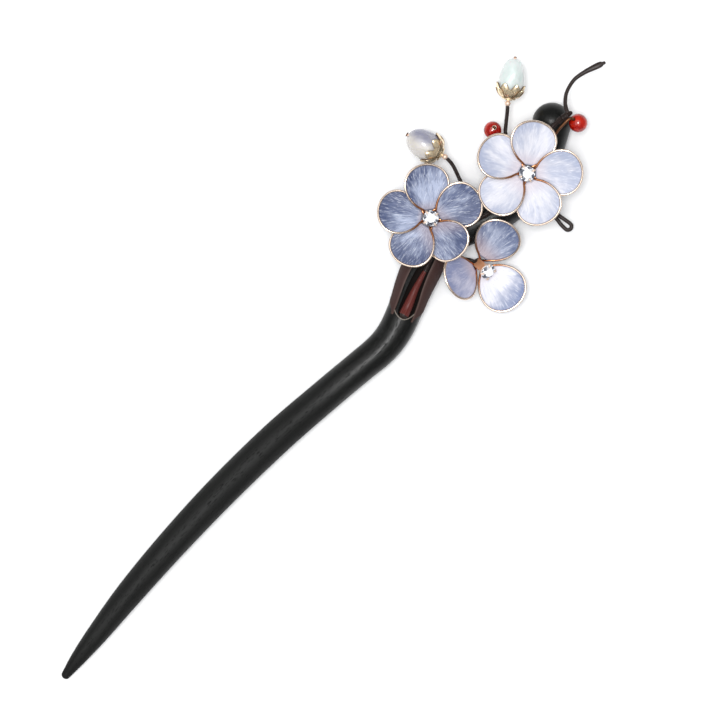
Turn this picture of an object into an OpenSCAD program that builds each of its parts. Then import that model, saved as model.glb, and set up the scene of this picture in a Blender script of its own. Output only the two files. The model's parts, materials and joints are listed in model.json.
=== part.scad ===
// Decorative hair pin: a carved wood stick that carries a spray of wired flowers, buds and beads.
// It lies flat, tip towards -X and knob towards +X, with its underside on Z = 0.

/* [Wood pin] */
// Radius of the pin at the middle of its shaft
shaft_r = 4; // [3.4:0.1:4.4]
// Radius of the swelling at the neck and of the end knob
knob_r = 4.75; // [4.4:0.05:5]
// Radius of the groove that holds the bound stem ends
groove_r = 1.9; // [1.6:0.1:2]

/* [Flowers] */
// Thickness of the petal wire
petal_wire_d = 0.56; // [0.4:0.02:0.7]
// Length of a petal of the two large flowers
petal_len = 12.7; // [12.2:0.1:12.9]
// Width of a petal of the two large flowers
petal_wid = 10.7; // [9.5:0.1:10.8]
// How far a petal's rim stands above its middle
petal_cup = 0.9; // [0.3:0.1:1.5]
// Thickness of the petal fill at its middle
fill_t = 0.4; // [0.3:0.05:0.5]
// Height of the lower of the two large flowers above the table
flower_a_z = 11.6; // [11.4:0.1:12]
// Height of the upper of the two large flowers above the table
flower_b_z = 12.9; // [12.9:0.1:13.6]
// Diameter of the stones at the middle of the flowers
stone_d = 3.8; // [3.2:0.1:4.2]

/* [Beads] */
// Diameter of the grey drop bead
drop_d_1 = 7.5; // [7:0.1:7.6]
// Length of the grey drop bead
drop_len_1 = 9; // [8.4:0.1:9.4]
// Diameter of the pale green drop bead
drop_d_2 = 6.6; // [6.2:0.1:7]
// Length of the pale green drop bead
drop_len_2 = 9.6; // [9:0.1:10]
// Diameter of the red bead beside the bud
red_d_1 = 4.3; // [4:0.1:4.4]
// Diameter of the red bead beside the knob
red_d_2 = 4.5; // [4:0.1:4.6]
// Thickness of the wire that runs through the beads
bead_wire_d = 0.7; // [0.5:0.05:0.8]
// Radial play of a bead on its wire
bead_play = 0.05; // [0.03:0.01:0.08]

/* [Stems] */
// Thickness of the main stem
trunk_d = 1.2; // [1:0.1:1.3]
// Thickness of the side stems
stem_d = 1; // [0.8:0.1:1.1]

/* [Hidden] */
// Middle of the whole pin, seen from above, measured from the pin's tip
middle = [97.6, -1.7, 0];
// Segments of exact round shapes
$fn = 48;

// Points along the middle of the wood: x, y and radius as a share of shaft_r up to the neck
shaft_route = [
    [0, 0.2, 0.27], [5, 0.5, 0.46], [12.5, 0.8, 0.64], [25, 1.2, 0.81], [42, 1, 0.92], [58, 0.2, 0.98],
    [76, -1.5, 1], [92, -4, 0.98], [103, -5.9, 0.98], [108, -6.8, 1], [112, -7, 1.01], [116, -6.4, 1.03],
    [121, -4.9, 1.06]
];
// Points along the neck, the branch and the knob: x, y and radius as a share of knob_r
branch_route = [
    [126, -3.1, 0.95], [131, -1.7, 1], [135.5, -1, 0.95], [140.5, -2.1, 0.89], [147, -5, 0.86],
    [154, -7.9, 0.86], [161, -8.9, 0.86], [167, -7.9, 0.86], [172.5, -5.6, 0.91], [177.3, -3, 1]
];
pin_route = concat(
    [for (p = shaft_route) [p[0], p[1], p[2] * shaft_r]],
    [for (p = branch_route) [p[0], p[1], p[2] * knob_r]]
);
pin_sides = 24;
// Greatest length between two rings of the wood
pin_step = 2.6;

petal_r = petal_wire_d / 2;
rim_steps = 28;
// How far round the rim the wire starts and ends, as an angle from the petal's base
rim_gap = 26;
// How sharply a petal narrows towards its base, and what keeps its width true with that
petal_taper = 0.35;
petal_taper_width = 1.12;
// Distance of a petal's base from the middle of its flower
petal_base = 1.7;

// Places of the flowers, from the pin's tip
flower_a = [140.5, 4.3, flower_a_z];
flower_b = [163.7, -6.4, flower_b_z];
flower_c = [139.9, -11.6, 4.8];
// Direction, pitch and roll of each petal, then its length and width as shares of the large ones
petals_a = [
    [47, 4, 13, 1.02, 1], [120, 4, 13, 1, 0.97], [187, 4, 13, 1.01, 1], [260, 9, 13, 0.91, 0.94],
    [335, 4, 13, 1.02, 1.01]
];
petals_b = [
    [30, 4, 13, 0.99, 1.02], [101, 4, 13, 1.01, 1.01], [169, 4, 13, 1.02, 1.01], [241, 4, 13, 1.01, 1.01],
    [312, 4, 13, 1.04, 1.01]
];
petals_c = [
    [3, 22, 12, 1.03, 0.99], [166, 40, -12, 0.98, 1], [264, 8, 0, 1.08, 1.04]
];
// Tilt of each setting away from +Z, the direction it tilts to, and how much taller its cup is
setting_a = [5, 300, 0];
setting_b = [6, 200, 0];
setting_c = [44, 268, 2.7];

// Ball ends of the two bud stems, the directions of the buds and their rise above the table
bud_1_at = [154.2, 11.2, 7.6];
bud_1_turn = 100;
bud_1_rise = 4;
bud_2_at = [173.7, 8, 7.8];
bud_2_turn = 31;
bud_2_rise = 4;
ball_d = 1.4;
// Diameter of the small heads that end the bead wires
head_d = 1.2;
cap_wall = 0.25;
cap_play = 0.06;
// How far a cap reaches up its bead
cap_reach = 4;
cap_petals = 7;

red_1_at = [166.45, 6.6, 8.2];
red_1_axis = [0.26, 0.03, 0.97];
red_2_at = [181, -7.95, 8.85];
red_2_axis = [0.06, -0.64, -0.77];

// Lower end of the tie that gathers the stem ends beside the knob, and its direction seen from above
tie_at = [179.4, -4.4, 10.15];
tie_turn = -16;

// Routes of the stems, from the pin's tip
trunk_route = [
    [130.3, -2.9, 9.6], [135, -1.6, 9.9], [140, -1.7, 9.4], [146, -3.8, 9], [152, -6, 8.9], [158, -7.6, 8.9],
    [164, -7.6, 8.9], [170, -5.8, 9.2], [174.7, -3.9, 10.2], [178.5, -4.1, 10.2], [181.6, -5, 10]
];
stem_a_route = [[140.5, 4.3, 10.7], [140.5, 3.9, 9.7], [140.7, 2, 9.3], [141.6, -0.5, 9.4], [144.5, -2, 9.6]];
stem_b_route = [[163.7, -6.4, 12], [163.6, -6.6, 11], [163, -6.9, 10.2], [161.5, -7.2, 10]];
stem_c_route = [
    [139.8, -10.9, 4.1], [139.2, -9.2, 3.6], [138, -7.4, 4.8], [137.5, -6.1, 7.2], [138, -4.2, 9.2],
    [139.5, -3.1, 9.7]
];
bud_1_route = [[154.2, 10.4, 7.6], [153.8, 8.3, 8], [152.1, 4.5, 8.7], [150.3, 0, 9], [150, -4, 9.1]];
bud_2_route = [
    [173.1, 7.5, 7.8], [171.4, 6.3, 8.2], [169.6, 5.1, 8.6], [167.5, 3.4, 9], [165.6, 0, 9], [164, -4, 9],
    [162.5, -6.4, 9]
];
red_1_route = [[165.85, 6.5, 5.9], [165.1, 5.7, 4.9], [164.7, 3.6, 5.2], [164.6, 0.5, 7], [163.4, -2.5, 8.4]];
red_2_route = [
    [180.85, -6.3, 10.8], [180.2, -5.7, 11.1], [178.9, -5.5, 11], [176.8, -5.4, 10.4], [174.6, -5.6, 9.7]
];
tendril_route = [
    [181.2, -4.3, 10.6], [181.9, -3.2, 10.2], [182.9, -2.2, 9.8], [185, -1, 9.4], [188.3, -0.5, 9.2],
    [191.4, -1.3, 9.4], [194.4, -2.6, 9.8], [196, -3.4, 10]
];
// Width of the tendril at each point of its route
tendril_w = [1, 1, 0.95, 0.9, 0.95, 1.15, 1.5, 1.1];
// Middle line of the doubled wire that ends in the eye, and half the space between its two runs
loop_route = [
    [161.2, -9.8, 9], [161.1, -12, 7.9], [161, -13.6, 6.1], [160.9, -15.6, 5], [160.8, -18.9, 4.6],
    [160.7, -20.6, 4.6], [160.7, -22.2, 4.6]
];
loop_spread = [0.5, 0.5, 0.5, 0.5, 0.5, 0.75, 0.85];
loop_wire_d = 0.96;

function unit(v) = v / norm(v);

// Point on a smooth curve through a list of points, u from 0 to the number of spans
function curve_at(p, u) =
    let (
        n = len(p) - 1,
        i = min(floor(u), n - 1),
        t = u - i,
        b = p[i],
        c = p[i + 1],
        a = i > 0 ? p[i - 1] : 2 * b - c,
        d = i < n - 1 ? p[i + 2] : 2 * c - b
    )
    0.5 * (2 * b + (c - a) * t + (2 * a - 5 * b + 4 * c - d) * t * t + (3 * b - a - 3 * c + d) * t * t * t);

function smooth(p, per_span) = [for (k = [0 : per_span * (len(p) - 1)]) curve_at(p, k / per_span)];

function heading(p, i) = unit(p[min(i + 1, len(p) - 1)] - p[max(i - 1, 0)]);

// A direction square to the path at each of its points, carried along so that a tube never twists
function carried(p, side, i = 0) =
    i >= len(p) ? [] :
    let (t = heading(p, i), s = unit(side - (side * t) * t))
    concat([s], carried(p, s, i + 1));

// Corners of an oval ring about a point, in the plane of the two directions
function ring(at, s, u, rs, ru, sides, turn = 0) =
    [for (k = [0 : sides - 1])
        let (a = turn + 360 * k / sides)
        at + rs * cos(a) * s + ru * sin(a) * u];

// Closed solid through rings of equal count. Each end is closed by strips between opposite corners.
module skin(rings) {
    n = len(rings[0]);
    m = len(rings);
    half = n / 2;
    walls = [for (i = [0 : m - 2], k = [0 : n - 1])
        [i * n + k, i * n + (k + 1) % n, (i + 1) * n + (k + 1) % n, (i + 1) * n + k]];
    first = [for (k = [0 : half - 2]) [n - 1 - k, n - 2 - k, k + 1, k]];
    last = [for (k = [0 : half - 2])
        [for (c = [k, k + 1, n - 2 - k, n - 1 - k]) (m - 1) * n + c]];
    polyhedron(points = [for (r = rings, p = r) p], faces = concat(walls, first, last));
}

// Closed solid through rings of equal count, with a point at each end
module pointed_skin(start, rings, end) {
    n = len(rings[0]);
    m = len(rings);
    walls = [for (i = [0 : m - 2], k = [0 : n - 1])
        [1 + i * n + k, 1 + i * n + (k + 1) % n, 1 + (i + 1) * n + (k + 1) % n, 1 + (i + 1) * n + k]];
    first = [for (k = [0 : n - 1]) [0, 1 + (k + 1) % n, 1 + k]];
    last = [for (k = [0 : n - 1]) [m * n + 1, 1 + (m - 1) * n + k, 1 + (m - 1) * n + (k + 1) % n]];
    polyhedron(
        points = concat([start], [for (r = rings, p = r) p], [end]),
        faces = concat(walls, first, last)
    );
}

// Round tube along a route of chosen points
module stem(route, d, per_span = 3, sides = 8) {
    p = smooth(route, per_span);
    s = carried(p, [0.02, 0.03, 1]);
    skin([for (i = [0 : len(p) - 1])
        ring(p[i], cross(heading(p, i), s[i]), s[i], d / 2, d / 2, sides)]);
}

// Points of the wood: each holds x, y and radius
function pin_points() = concat(
    [for (i = [0 : len(pin_route) - 2])
        let (
            a = pin_route[i],
            b = pin_route[i + 1],
            n = max(1, round(norm([b[0] - a[0], b[1] - a[1]]) / pin_step))
        )
        for (k = [0 : n - 1]) curve_at(pin_route, i + k / n)],
    [pin_route[len(pin_route) - 1]]
);

// Ring of the wood at one of its points. The underside stays on the table.
function pin_ring(q, dir, r, shift = 0) =
    ring([q[0], q[1], q[2]] + shift * dir, [dir[1], -dir[0], 0], [0, 0, 1], r, r, pin_sides, 180 / pin_sides);

function flat(v) = [v[0], v[1], 0];

module wood_pin() {
    p = pin_points();
    last = len(p) - 1;
    dirs = [for (i = [0 : last]) unit(flat(p[min(i + 1, last)] - p[max(i - 1, 0)]))];
    // Angles of the rings that round off both ends
    dome = [14, 32, 52, 72];
    tip_r = p[0][2];
    rings = concat(
        [for (i = [len(dome) - 1 : -1 : 0])
            pin_ring(p[0], dirs[0], tip_r * cos(dome[i]), -tip_r * sin(dome[i]))],
        [for (i = [0 : last]) pin_ring(p[i], dirs[i], p[i][2])],
        [for (a = dome) pin_ring(p[last], dirs[last], knob_r * cos(a), knob_r * sin(a))]
    );
    color([0.07, 0.065, 0.06])
        difference() {
            pointed_skin(
                [p[0][0], p[0][1], tip_r] - tip_r * dirs[0],
                rings,
                [p[last][0], p[last][1], knob_r] + knob_r * dirs[last]
            );
            groove();
        }
}

// Run of the groove in the neck: where it starts at its lower end, to where it leaves the wood
groove_route = [
    [117.9, -6.1, 8.7], [121.3, -5.1, 8.1], [126, -3.6, 8.9], [131, -2.4, 10.2], [134, -1.6, 10.9]
];

module groove() {
    stem(groove_route, 2 * groove_r, 2, 12);
}

// Wrap that clings to the front of the neck on both sides of the groove
module neck_sleeve() {
    sleeve_t = 0.3;
    play = 0.06;
    steps = 6;
    // Part of the pin's route that the wrap covers, counted in spans
    from = 11.4;
    to = 15.3;
    rings = 14;
    // Angle from the top of the wood to the inner edge, at the lower and the upper end
    inner_edge = [34, 21];
    color([0.3, 0.19, 0.16])
        for (side = [-1, 1])
            skin([for (i = [0 : rings])
                let (
                    u = from + (to - from) * i / rings,
                    q = curve_at(pin_route, u),
                    d = unit(flat(curve_at(pin_route, u + 0.1) - curve_at(pin_route, u - 0.1))),
                    s = side * [d[1], -d[0], 0],
                    at = [q[0], q[1], q[2]],
                    first = inner_edge[0] + (inner_edge[1] - inner_edge[0]) * i / rings,
                    outer_edge = i < 2 ? 42 : i < 3 ? 62 : 76,
                    arc = [for (k = [0 : steps]) first + (outer_edge - first) * k / steps],
                    outer = [for (a = arc) at + (q[2] + play + sleeve_t) * (sin(a) * s + cos(a) * [0, 0, 1])],
                    inner = [for (k = [steps : -1 : 0])
                        at + (q[2] + play) * (sin(arc[k]) * s + cos(arc[k]) * [0, 0, 1])],
                    loop = concat(outer, inner)
                )
                side > 0 ? loop : [for (k = [len(loop) - 1 : -1 : 0]) loop[k]]]);
}

// Ends of the stems, bound together with thread, thickest at the cut end
module bound_stem_ends() {
    route = [[118.9, -5.8, 8], [121.5, -5.1, 7.7], [125.5, -3.9, 8.4], [130, -2.9, 9.5]];
    thick = [1.25, 1.2, 0.85, 0.5];
    p = smooth(route, 3);
    r = smooth([for (t = thick) [t]], 3);
    s = carried(p, [0.02, 0.03, 1]);
    color([0.5, 0.16, 0.12])
        skin([for (i = [0 : len(p) - 1])
            ring(p[i], cross(heading(p, i), s[i]), s[i], r[i][0], r[i][0], 12)]);
}

module dark_stem(route, d = stem_d) {
    color([0.2, 0.12, 0.1])
        stem(route, d);
}

module main_stem() {
    dark_stem(trunk_route, trunk_d);
}

// Turns of thread that tie the stem ends together beside the knob
module junction_wrap() {
    turns = 4;
    pitch = 0.4;
    thread_r = 0.19;
    color([0.3, 0.19, 0.15])
        translate(tie_at)
            rotate([0, 90, tie_turn])
                for (k = [0 : turns - 1])
                    translate([0, 0, k * pitch])
                        rotate_extrude()
                            translate([trunk_d / 2 + thread_r + 0.01, 0])
                                circle(r = thread_r);
}

// Stem with a flattened, leaf-like end
module tendril() {
    p = smooth(tendril_route, 3);
    w = smooth([for (t = tendril_w) [t]], 3);
    s = carried(p, [0.02, 0.03, 1]);
    // Width times thickness where the end is beaten flat
    beaten = 1.25;
    color([0.2, 0.12, 0.1])
        skin([for (i = [0 : len(p) - 1])
            ring(p[i], cross(heading(p, i), s[i]), s[i], w[i][0] / 2, min(1, beaten / w[i][0]) / 2, 8)]);
}

// Doubled wire that ends in a narrow eye, for a tassel
module tassel_loop() {
    last = len(loop_route) - 1;
    across = [1, 0, 0];
    end_r = loop_spread[last];
    out = [for (i = [0 : last]) loop_route[i] + loop_spread[i] * across];
    turn = [for (a = [45 : 45 : 135]) loop_route[last] + end_r * [cos(a), -sin(a), 0]];
    back = [for (i = [last : -1 : 0]) loop_route[i] - loop_spread[i] * across];
    color([0.2, 0.12, 0.1])
        stem(concat(out, turn, back), loop_wire_d, 2);
}

// Half width of a petal's rim at angle t from its base
function rim_width(t, wid) = wid / 2 * sin(t) * pow(sin(t / 2), petal_taper) * petal_taper_width;

function rim_height(x, y, len, wid) =
    petal_cup * (0.6 * pow(max(x, 0) / len, 2) + 0.4 * pow(2 * y / wid, 2));

// Rim of a petal in its own frame: +X outwards from the flower's middle, +Z to the front
function rim_at(t, len, wid) =
    let (x = petal_base + (len - petal_base) / 2 * (1 - cos(t)), y = rim_width(t, wid))
    [x, y, rim_height(x, y, len, wid)];

function rim_turns() = [for (k = [0 : rim_steps]) rim_gap + (360 - 2 * rim_gap) * k / rim_steps];

function rim_heading(t, len, wid) = unit(rim_at(t + 1, len, wid) - rim_at(t - 1, len, wid));

// Towards the inside of the petal, square to the rim
function rim_inward(t, len, wid) = unit(cross(rim_heading(t, len, wid), [0, 0, 1]));

function rim_front(t, len, wid) = cross(rim_inward(t, len, wid), rim_heading(t, len, wid));

module petal_place(flower, petal) {
    translate(flower)
        rotate([0, 0, petal[0]])
            rotate([0, -petal[1], 0])
                rotate([petal[2], 0, 0])
                    children();
}

module petal_wire(petal) {
    l = petal_len * petal[3];
    w = petal_wid * petal[4];
    color([0.85, 0.66, 0.48])
        skin([for (t = rim_turns())
            ring(rim_at(t, l, w), rim_front(t, l, w), rim_inward(t, l, w), petal_r, petal_r, 8, 22.5)]);
}

// Glossy film inside a petal's wire, thickest at its middle
module petal_fill(petal, tone) {
    l = petal_len * petal[3];
    w = petal_wid * petal[4];
    turns = rim_turns();
    edge = petal_r * cos(22.5);
    rise = petal_r * sin(22.5);
    mid_x = l * 0.58;
    mid = [mid_x, 0, rim_height(mid_x, 0, l, w)];
    inset = [for (t = turns) rim_at(t, l, w) + edge * rim_inward(t, l, w)];
    half_way = [for (p = inset)
        let (q = (flat(p) + flat(mid)) / 2)
        [q[0], q[1], rim_height(q[0], q[1], l, w)]];
    up = [0, 0, 1];
    swell = fill_t * 0.42 * up;
    front = [for (i = [0 : len(turns) - 1]) inset[i] + rise * rim_front(turns[i], l, w)];
    back = [for (i = [0 : len(turns) - 1]) inset[i] - rise * rim_front(turns[i], l, w)];
    color(tone)
        pointed_skin(
            mid + fill_t / 2 * up,
            [[for (p = half_way) p + swell], front, back, [for (p = half_way) p - swell]],
            mid - fill_t / 2 * up
        );
}

// Frame of a setting: the flower's middle, with its axis tilted
module setting_place(flower, tilt) {
    translate(flower)
        rotate([0, 0, tilt[1]])
            rotate([0, tilt[0], 0])
                children();
}

// Heights above the flower's middle: foot and top of the square cup, and the stone's widest line
cup_foot = -0.34;
cup_top = 0.55;
cup_w = 2.3;
girdle = 1.5;
claw = 0.36;

// Square cup with four claws that holds a stone
module setting(flower, tilt) {
    lift = tilt[2];
    foot_r = cup_w * 0.62;
    tip_r = stone_d / 2 + 0.33;
    color([0.9, 0.68, 0.5])
        setting_place(flower, tilt) {
            translate([-cup_w / 2, -cup_w / 2, cup_foot])
                cube([cup_w, cup_w, cup_top + lift - cup_foot]);
            for (a = [45 : 90 : 315])
                rotate([0, 0, a])
                    hull() {
                        translate([foot_r, 0, cup_top - 0.3 + lift])
                            cube(claw, center = true);
                        translate([tip_r, 0, girdle - 0.1 + lift])
                            cube(claw, center = true);
                    }
        }
}

// Round stone with a flat table, a crown and a pavilion
module stone(flower, tilt) {
    r = stone_d / 2;
    band = 0.08;
    culet = -0.92;
    table = 0.55;
    color([0.93, 0.95, 0.98])
        setting_place(flower, tilt)
            translate([0, 0, girdle + tilt[2]])
                rotate_extrude()
                    polygon([
                        [0, culet], [r * 0.45, culet], [r, -band], [r, band], [r * 0.62, table], [0, table]
                    ]);
}

// Stem of a flower, with the binding that gathers the tails of its petal wires
module flower_stem(flower, tilt, route) {
    binding_t = 0.6;
    dark_stem(route);
    color([0.25, 0.15, 0.12])
        setting_place(flower, tilt)
            translate([0, 0, cup_foot - binding_t - 0.01])
                cylinder(r1 = 0.8, r2 = 1.5, h = binding_t);
}

// Frame of a bud: its ball at the origin, its axis along +Z
module bud_place(at, turn, rise) {
    translate(at)
        rotate([0, 90 - rise, turn])
            children();
}

cap_foot = ball_d / 2 + 0.08;
bead_foot = cap_foot + 0.5;
bore_r = bead_wire_d / 2 + bead_play;

// Radius of a drop bead at height h above its foot: an egg, fuller near its cap
function drop_r(h, d, long) =
    let (a = acos(1 - 2 * h / long))
    d / 2 * pow(sin(a), 0.85) * (1 - 0.06 * (1 - cos(a)));

function drop_heights(long) = [for (a = [0 : 10 : 180]) long / 2 * (1 - cos(a))];

module drop_bead(tone, at, turn, rise, d, long) {
    color(tone)
        bud_place(at, turn, rise)
            translate([0, 0, bead_foot])
                difference() {
                    rotate_extrude()
                        polygon([for (h = drop_heights(long)) [drop_r(h, d, long), h]]);
                    translate([0, 0, -1])
                        cylinder(r = bore_r, h = long + 2);
                }
}

// Cup that clasps the foot of a bead, its rim cut into pointed petals
module bud_cap(at, turn, rise, d, long) {
    heights = concat([for (h = drop_heights(long)) if (h > 0 && h < cap_reach) h], [cap_reach]);
    notch = 2.2;
    color([0.9, 0.75, 0.5])
        bud_place(at, turn, rise)
            translate([0, 0, bead_foot])
                difference() {
                    rotate_extrude()
                        polygon(concat(
                            [[bore_r, -0.5], [1.1, -0.5]],
                            [for (h = heights)
                                [drop_r(h, d, long) + cap_play + cap_wall + 0.3 * (1 - h / cap_reach), h]],
                            [for (k = [len(heights) - 1 : -1 : 0])
                                [drop_r(heights[k], d, long) + cap_play, heights[k]]],
                            [[bore_r, -0.12]]
                        ));
                    for (k = [0 : cap_petals - 1])
                        rotate([0, 0, 360 * k / cap_petals])
                            translate([d / 2, 0, cap_reach])
                                rotate([45, 0, 0])
                                    cube([3, notch, notch], center = true);
                }
}

// Wire through a bead, with a ball at its foot and a small head at its far end
module headpin(at, turn, rise, long) {
    reach = bead_foot + long;
    head_t = 0.4;
    gap = 0.12;
    color([0.87, 0.68, 0.46])
        bud_place(at, turn, rise) {
            sphere(d = ball_d);
            cylinder(d = bead_wire_d, h = reach + gap + head_t / 2);
            translate([0, 0, reach + gap])
                cylinder(d = head_d, h = head_t);
        }
}

// Turns +Z to a given direction
module along(axis) {
    rotate([0, acos(axis[2] / norm(axis)), atan2(axis[1], axis[0])])
        children();
}

module red_bead(at, axis, d) {
    color([0.75, 0.1, 0.06])
        translate(at)
            along(axis)
                difference() {
                    sphere(d = d);
                    cylinder(d = bead_wire_d + 2 * bead_play, h = d + 1, center = true);
                }
}

// Straight wire through a red bead, with a flat head beyond it, then a bent tail
module red_bead_wire(at, axis, d, tail) {
    head_t = 0.35;
    gap = 0.06;
    // How far the straight wire stands out below the bead, where the tail begins
    foot = 0.3;
    color([0.45, 0.26, 0.16]) {
        translate(at)
            along(axis) {
                translate([0, 0, -d / 2 - foot])
                    cylinder(d = bead_wire_d, h = foot + d + gap + head_t / 2);
                translate([0, 0, d / 2 + gap])
                    cylinder(d = head_d, h = head_t);
            }
        stem(tail, bead_wire_d);
    }
}

module whole() {
    translate(-middle)
        children();
}

module flower_parts(letter, flower, petals, tilt, route, tone) {
    flower_stem(flower, tilt, route);
    setting(flower, tilt);
    stone(flower, tilt);
    for (i = [1 : len(petals)])
        petal_place(flower, petals[i - 1]) {
            petal_wire(petals[i - 1]);
            petal_fill(petals[i - 1], tone);
        }
}

module bud_parts(i, at, turn, rise, route, tone, d, long) {
    drop_bead(tone, at, turn, rise, d, long);
    bud_cap(at, turn, rise, d, long);
    headpin(at, turn, rise, long);
    dark_stem(route);
}

module red_bead_parts(i, at, axis, d, tail) {
    red_bead(at, axis, d);
    red_bead_wire(at, axis, d, tail);
}

whole() {
    wood_pin();
    neck_sleeve();
    bound_stem_ends();
    main_stem();
    junction_wrap();
    tendril();
    tassel_loop();
    flower_parts("a", flower_a, petals_a, setting_a, stem_a_route, [0.45, 0.52, 0.72]);
    flower_parts("b", flower_b, petals_b, setting_b, stem_b_route, [0.75, 0.78, 0.9]);
    flower_parts("c", flower_c, petals_c, setting_c, stem_c_route, [0.65, 0.68, 0.82]);
    bud_parts(1, bud_1_at, bud_1_turn, bud_1_rise, bud_1_route, [0.75, 0.73, 0.76], drop_d_1, drop_len_1);
    bud_parts(2, bud_2_at, bud_2_turn, bud_2_rise, bud_2_route, [0.85, 0.92, 0.88], drop_d_2, drop_len_2);
    red_bead_parts(1, red_1_at, red_1_axis, red_d_1, red_1_route);
    red_bead_parts(2, red_2_at, red_2_axis, red_d_2, red_2_route);
}
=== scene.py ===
import json
import math

import bmesh
import bpy
import numpy as np
from bpy.props import FloatProperty, FloatVectorProperty, IntProperty, PointerProperty
from mathutils import Matrix, Vector

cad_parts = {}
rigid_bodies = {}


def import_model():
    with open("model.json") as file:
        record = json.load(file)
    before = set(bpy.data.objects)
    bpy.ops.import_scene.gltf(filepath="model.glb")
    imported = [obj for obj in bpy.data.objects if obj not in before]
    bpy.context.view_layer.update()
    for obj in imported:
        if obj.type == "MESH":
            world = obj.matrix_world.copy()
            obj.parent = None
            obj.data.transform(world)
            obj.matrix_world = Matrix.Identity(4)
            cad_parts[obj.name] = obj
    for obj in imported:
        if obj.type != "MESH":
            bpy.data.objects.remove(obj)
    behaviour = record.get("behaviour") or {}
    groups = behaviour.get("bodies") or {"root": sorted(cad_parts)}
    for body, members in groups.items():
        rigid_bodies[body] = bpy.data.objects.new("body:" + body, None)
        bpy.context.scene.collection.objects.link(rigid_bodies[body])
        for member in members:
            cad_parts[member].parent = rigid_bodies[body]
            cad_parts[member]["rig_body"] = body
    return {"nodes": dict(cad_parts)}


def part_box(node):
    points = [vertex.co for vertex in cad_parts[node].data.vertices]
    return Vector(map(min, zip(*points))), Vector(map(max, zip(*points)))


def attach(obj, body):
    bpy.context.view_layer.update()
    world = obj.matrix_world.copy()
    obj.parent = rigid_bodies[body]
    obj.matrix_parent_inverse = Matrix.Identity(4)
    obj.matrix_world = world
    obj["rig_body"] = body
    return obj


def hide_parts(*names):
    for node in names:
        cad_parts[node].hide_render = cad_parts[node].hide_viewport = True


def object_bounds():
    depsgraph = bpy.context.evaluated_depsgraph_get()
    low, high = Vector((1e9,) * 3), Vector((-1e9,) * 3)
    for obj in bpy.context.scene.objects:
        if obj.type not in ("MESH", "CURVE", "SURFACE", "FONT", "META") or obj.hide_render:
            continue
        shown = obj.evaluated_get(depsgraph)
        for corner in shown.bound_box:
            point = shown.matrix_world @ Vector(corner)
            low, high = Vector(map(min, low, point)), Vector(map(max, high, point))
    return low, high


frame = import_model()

bl_info = {
    "name": "Flower Hair Pin",
    "version": (1, 0, 0),
    "blender": (4, 5, 0),
    "location": "3D View > Sidebar > Hair Pin",
    "description": "Builds a carved wood hair pin with wired petal flowers, buds and beads",
    "category": "Add Mesh",
}

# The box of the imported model, before any piece is added
CAD_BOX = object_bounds()
MM = 0.001
# The tip of the pin in the frame, in millimetres. Every place below is measured from it.
TIP = Vector((-97.6, 1.7, 0.0))
UP = np.array([0.0, 0.0, 1.0])
# Along the wood in millimetres: where its channel lies, and where satin gives way to the polished crook
CHANNEL_ZONE = (100, 145)
POLISH_ZONE = (80, 112)
# Where the neck wrap starts and how far it runs, counted in spans of the wood's route
WRAP_START, WRAP_SPANS = 11.4, 3.9
# The direction that a tube's first ring is turned to, never along a stem
SIDE = np.array([0.02, 0.03, 1.0])

# ---------------------------------------------------------------- places and routes, in millimetres

# Middle of the wood: x, y and radius
PIN_ROUTE = [
    (0, 0.2, 1.08), (5, 0.5, 1.84), (12.5, 0.8, 2.56), (25, 1.2, 3.24), (42, 1, 3.68), (58, 0.2, 3.92),
    (76, -1.5, 4), (92, -4, 3.92), (103, -5.9, 3.92), (108, -6.8, 4), (112, -7, 4.04), (116, -6.4, 4.12),
    (121, -4.9, 4.24), (126, -3.1, 4.51), (131, -1.7, 4.75), (135.5, -1, 4.51), (140.5, -2.1, 4.23),
    (147, -5, 4.09), (154, -7.9, 4.09), (161, -8.9, 4.09), (167, -7.9, 4.09), (172.5, -5.6, 4.32),
    (177.3, -3, 4.75),
]
GROOVE_ROUTE = [
    (119.6, -5.7, 8.4), (121.3, -5.1, 8.1), (126, -3.6, 8.9), (131, -2.4, 10.2), (134, -1.6, 10.9),
]
BUNDLE_ROUTE = [(118.9, -5.8, 8), (121.5, -5.1, 7.7), (125.5, -3.9, 8.4), (130, -2.9, 9.5)]
BUNDLE_R = [1.25, 1.2, 0.85, 0.5]
TRUNK_ROUTE = [
    (130.3, -2.9, 9.6), (135, -1.6, 9.9), (140, -1.7, 9.4), (146, -3.8, 9), (152, -6, 8.9), (158, -7.6, 8.9),
    (164, -7.6, 8.9), (170, -5.8, 9.2), (174.7, -3.9, 10.2), (178.5, -4.1, 10.2), (181.6, -5, 10),
]
TENDRIL_ROUTE = [
    (181.2, -4.3, 10.6), (181.9, -3.2, 10.2), (182.9, -2.2, 9.8), (185, -1, 9.4), (188.3, -0.5, 9.2),
    (191.4, -1.3, 9.4), (194.4, -2.6, 9.8), (196, -3.4, 10),
]
TENDRIL_W = [1, 1, 0.95, 0.9, 0.95, 1.15, 1.5, 1.1]
LOOP_ROUTE = [
    (161.2, -9.8, 9), (161.1, -12, 7.9), (161, -13.6, 6.1), (160.9, -15.6, 5), (160.8, -18.9, 4.6),
    (160.7, -20.6, 4.6), (160.7, -22.2, 4.6),
]
LOOP_SPREAD = [0.5, 0.5, 0.5, 0.5, 0.5, 0.75, 0.85]
TIE_AT = (179.4, -4.4, 10.15)

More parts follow.
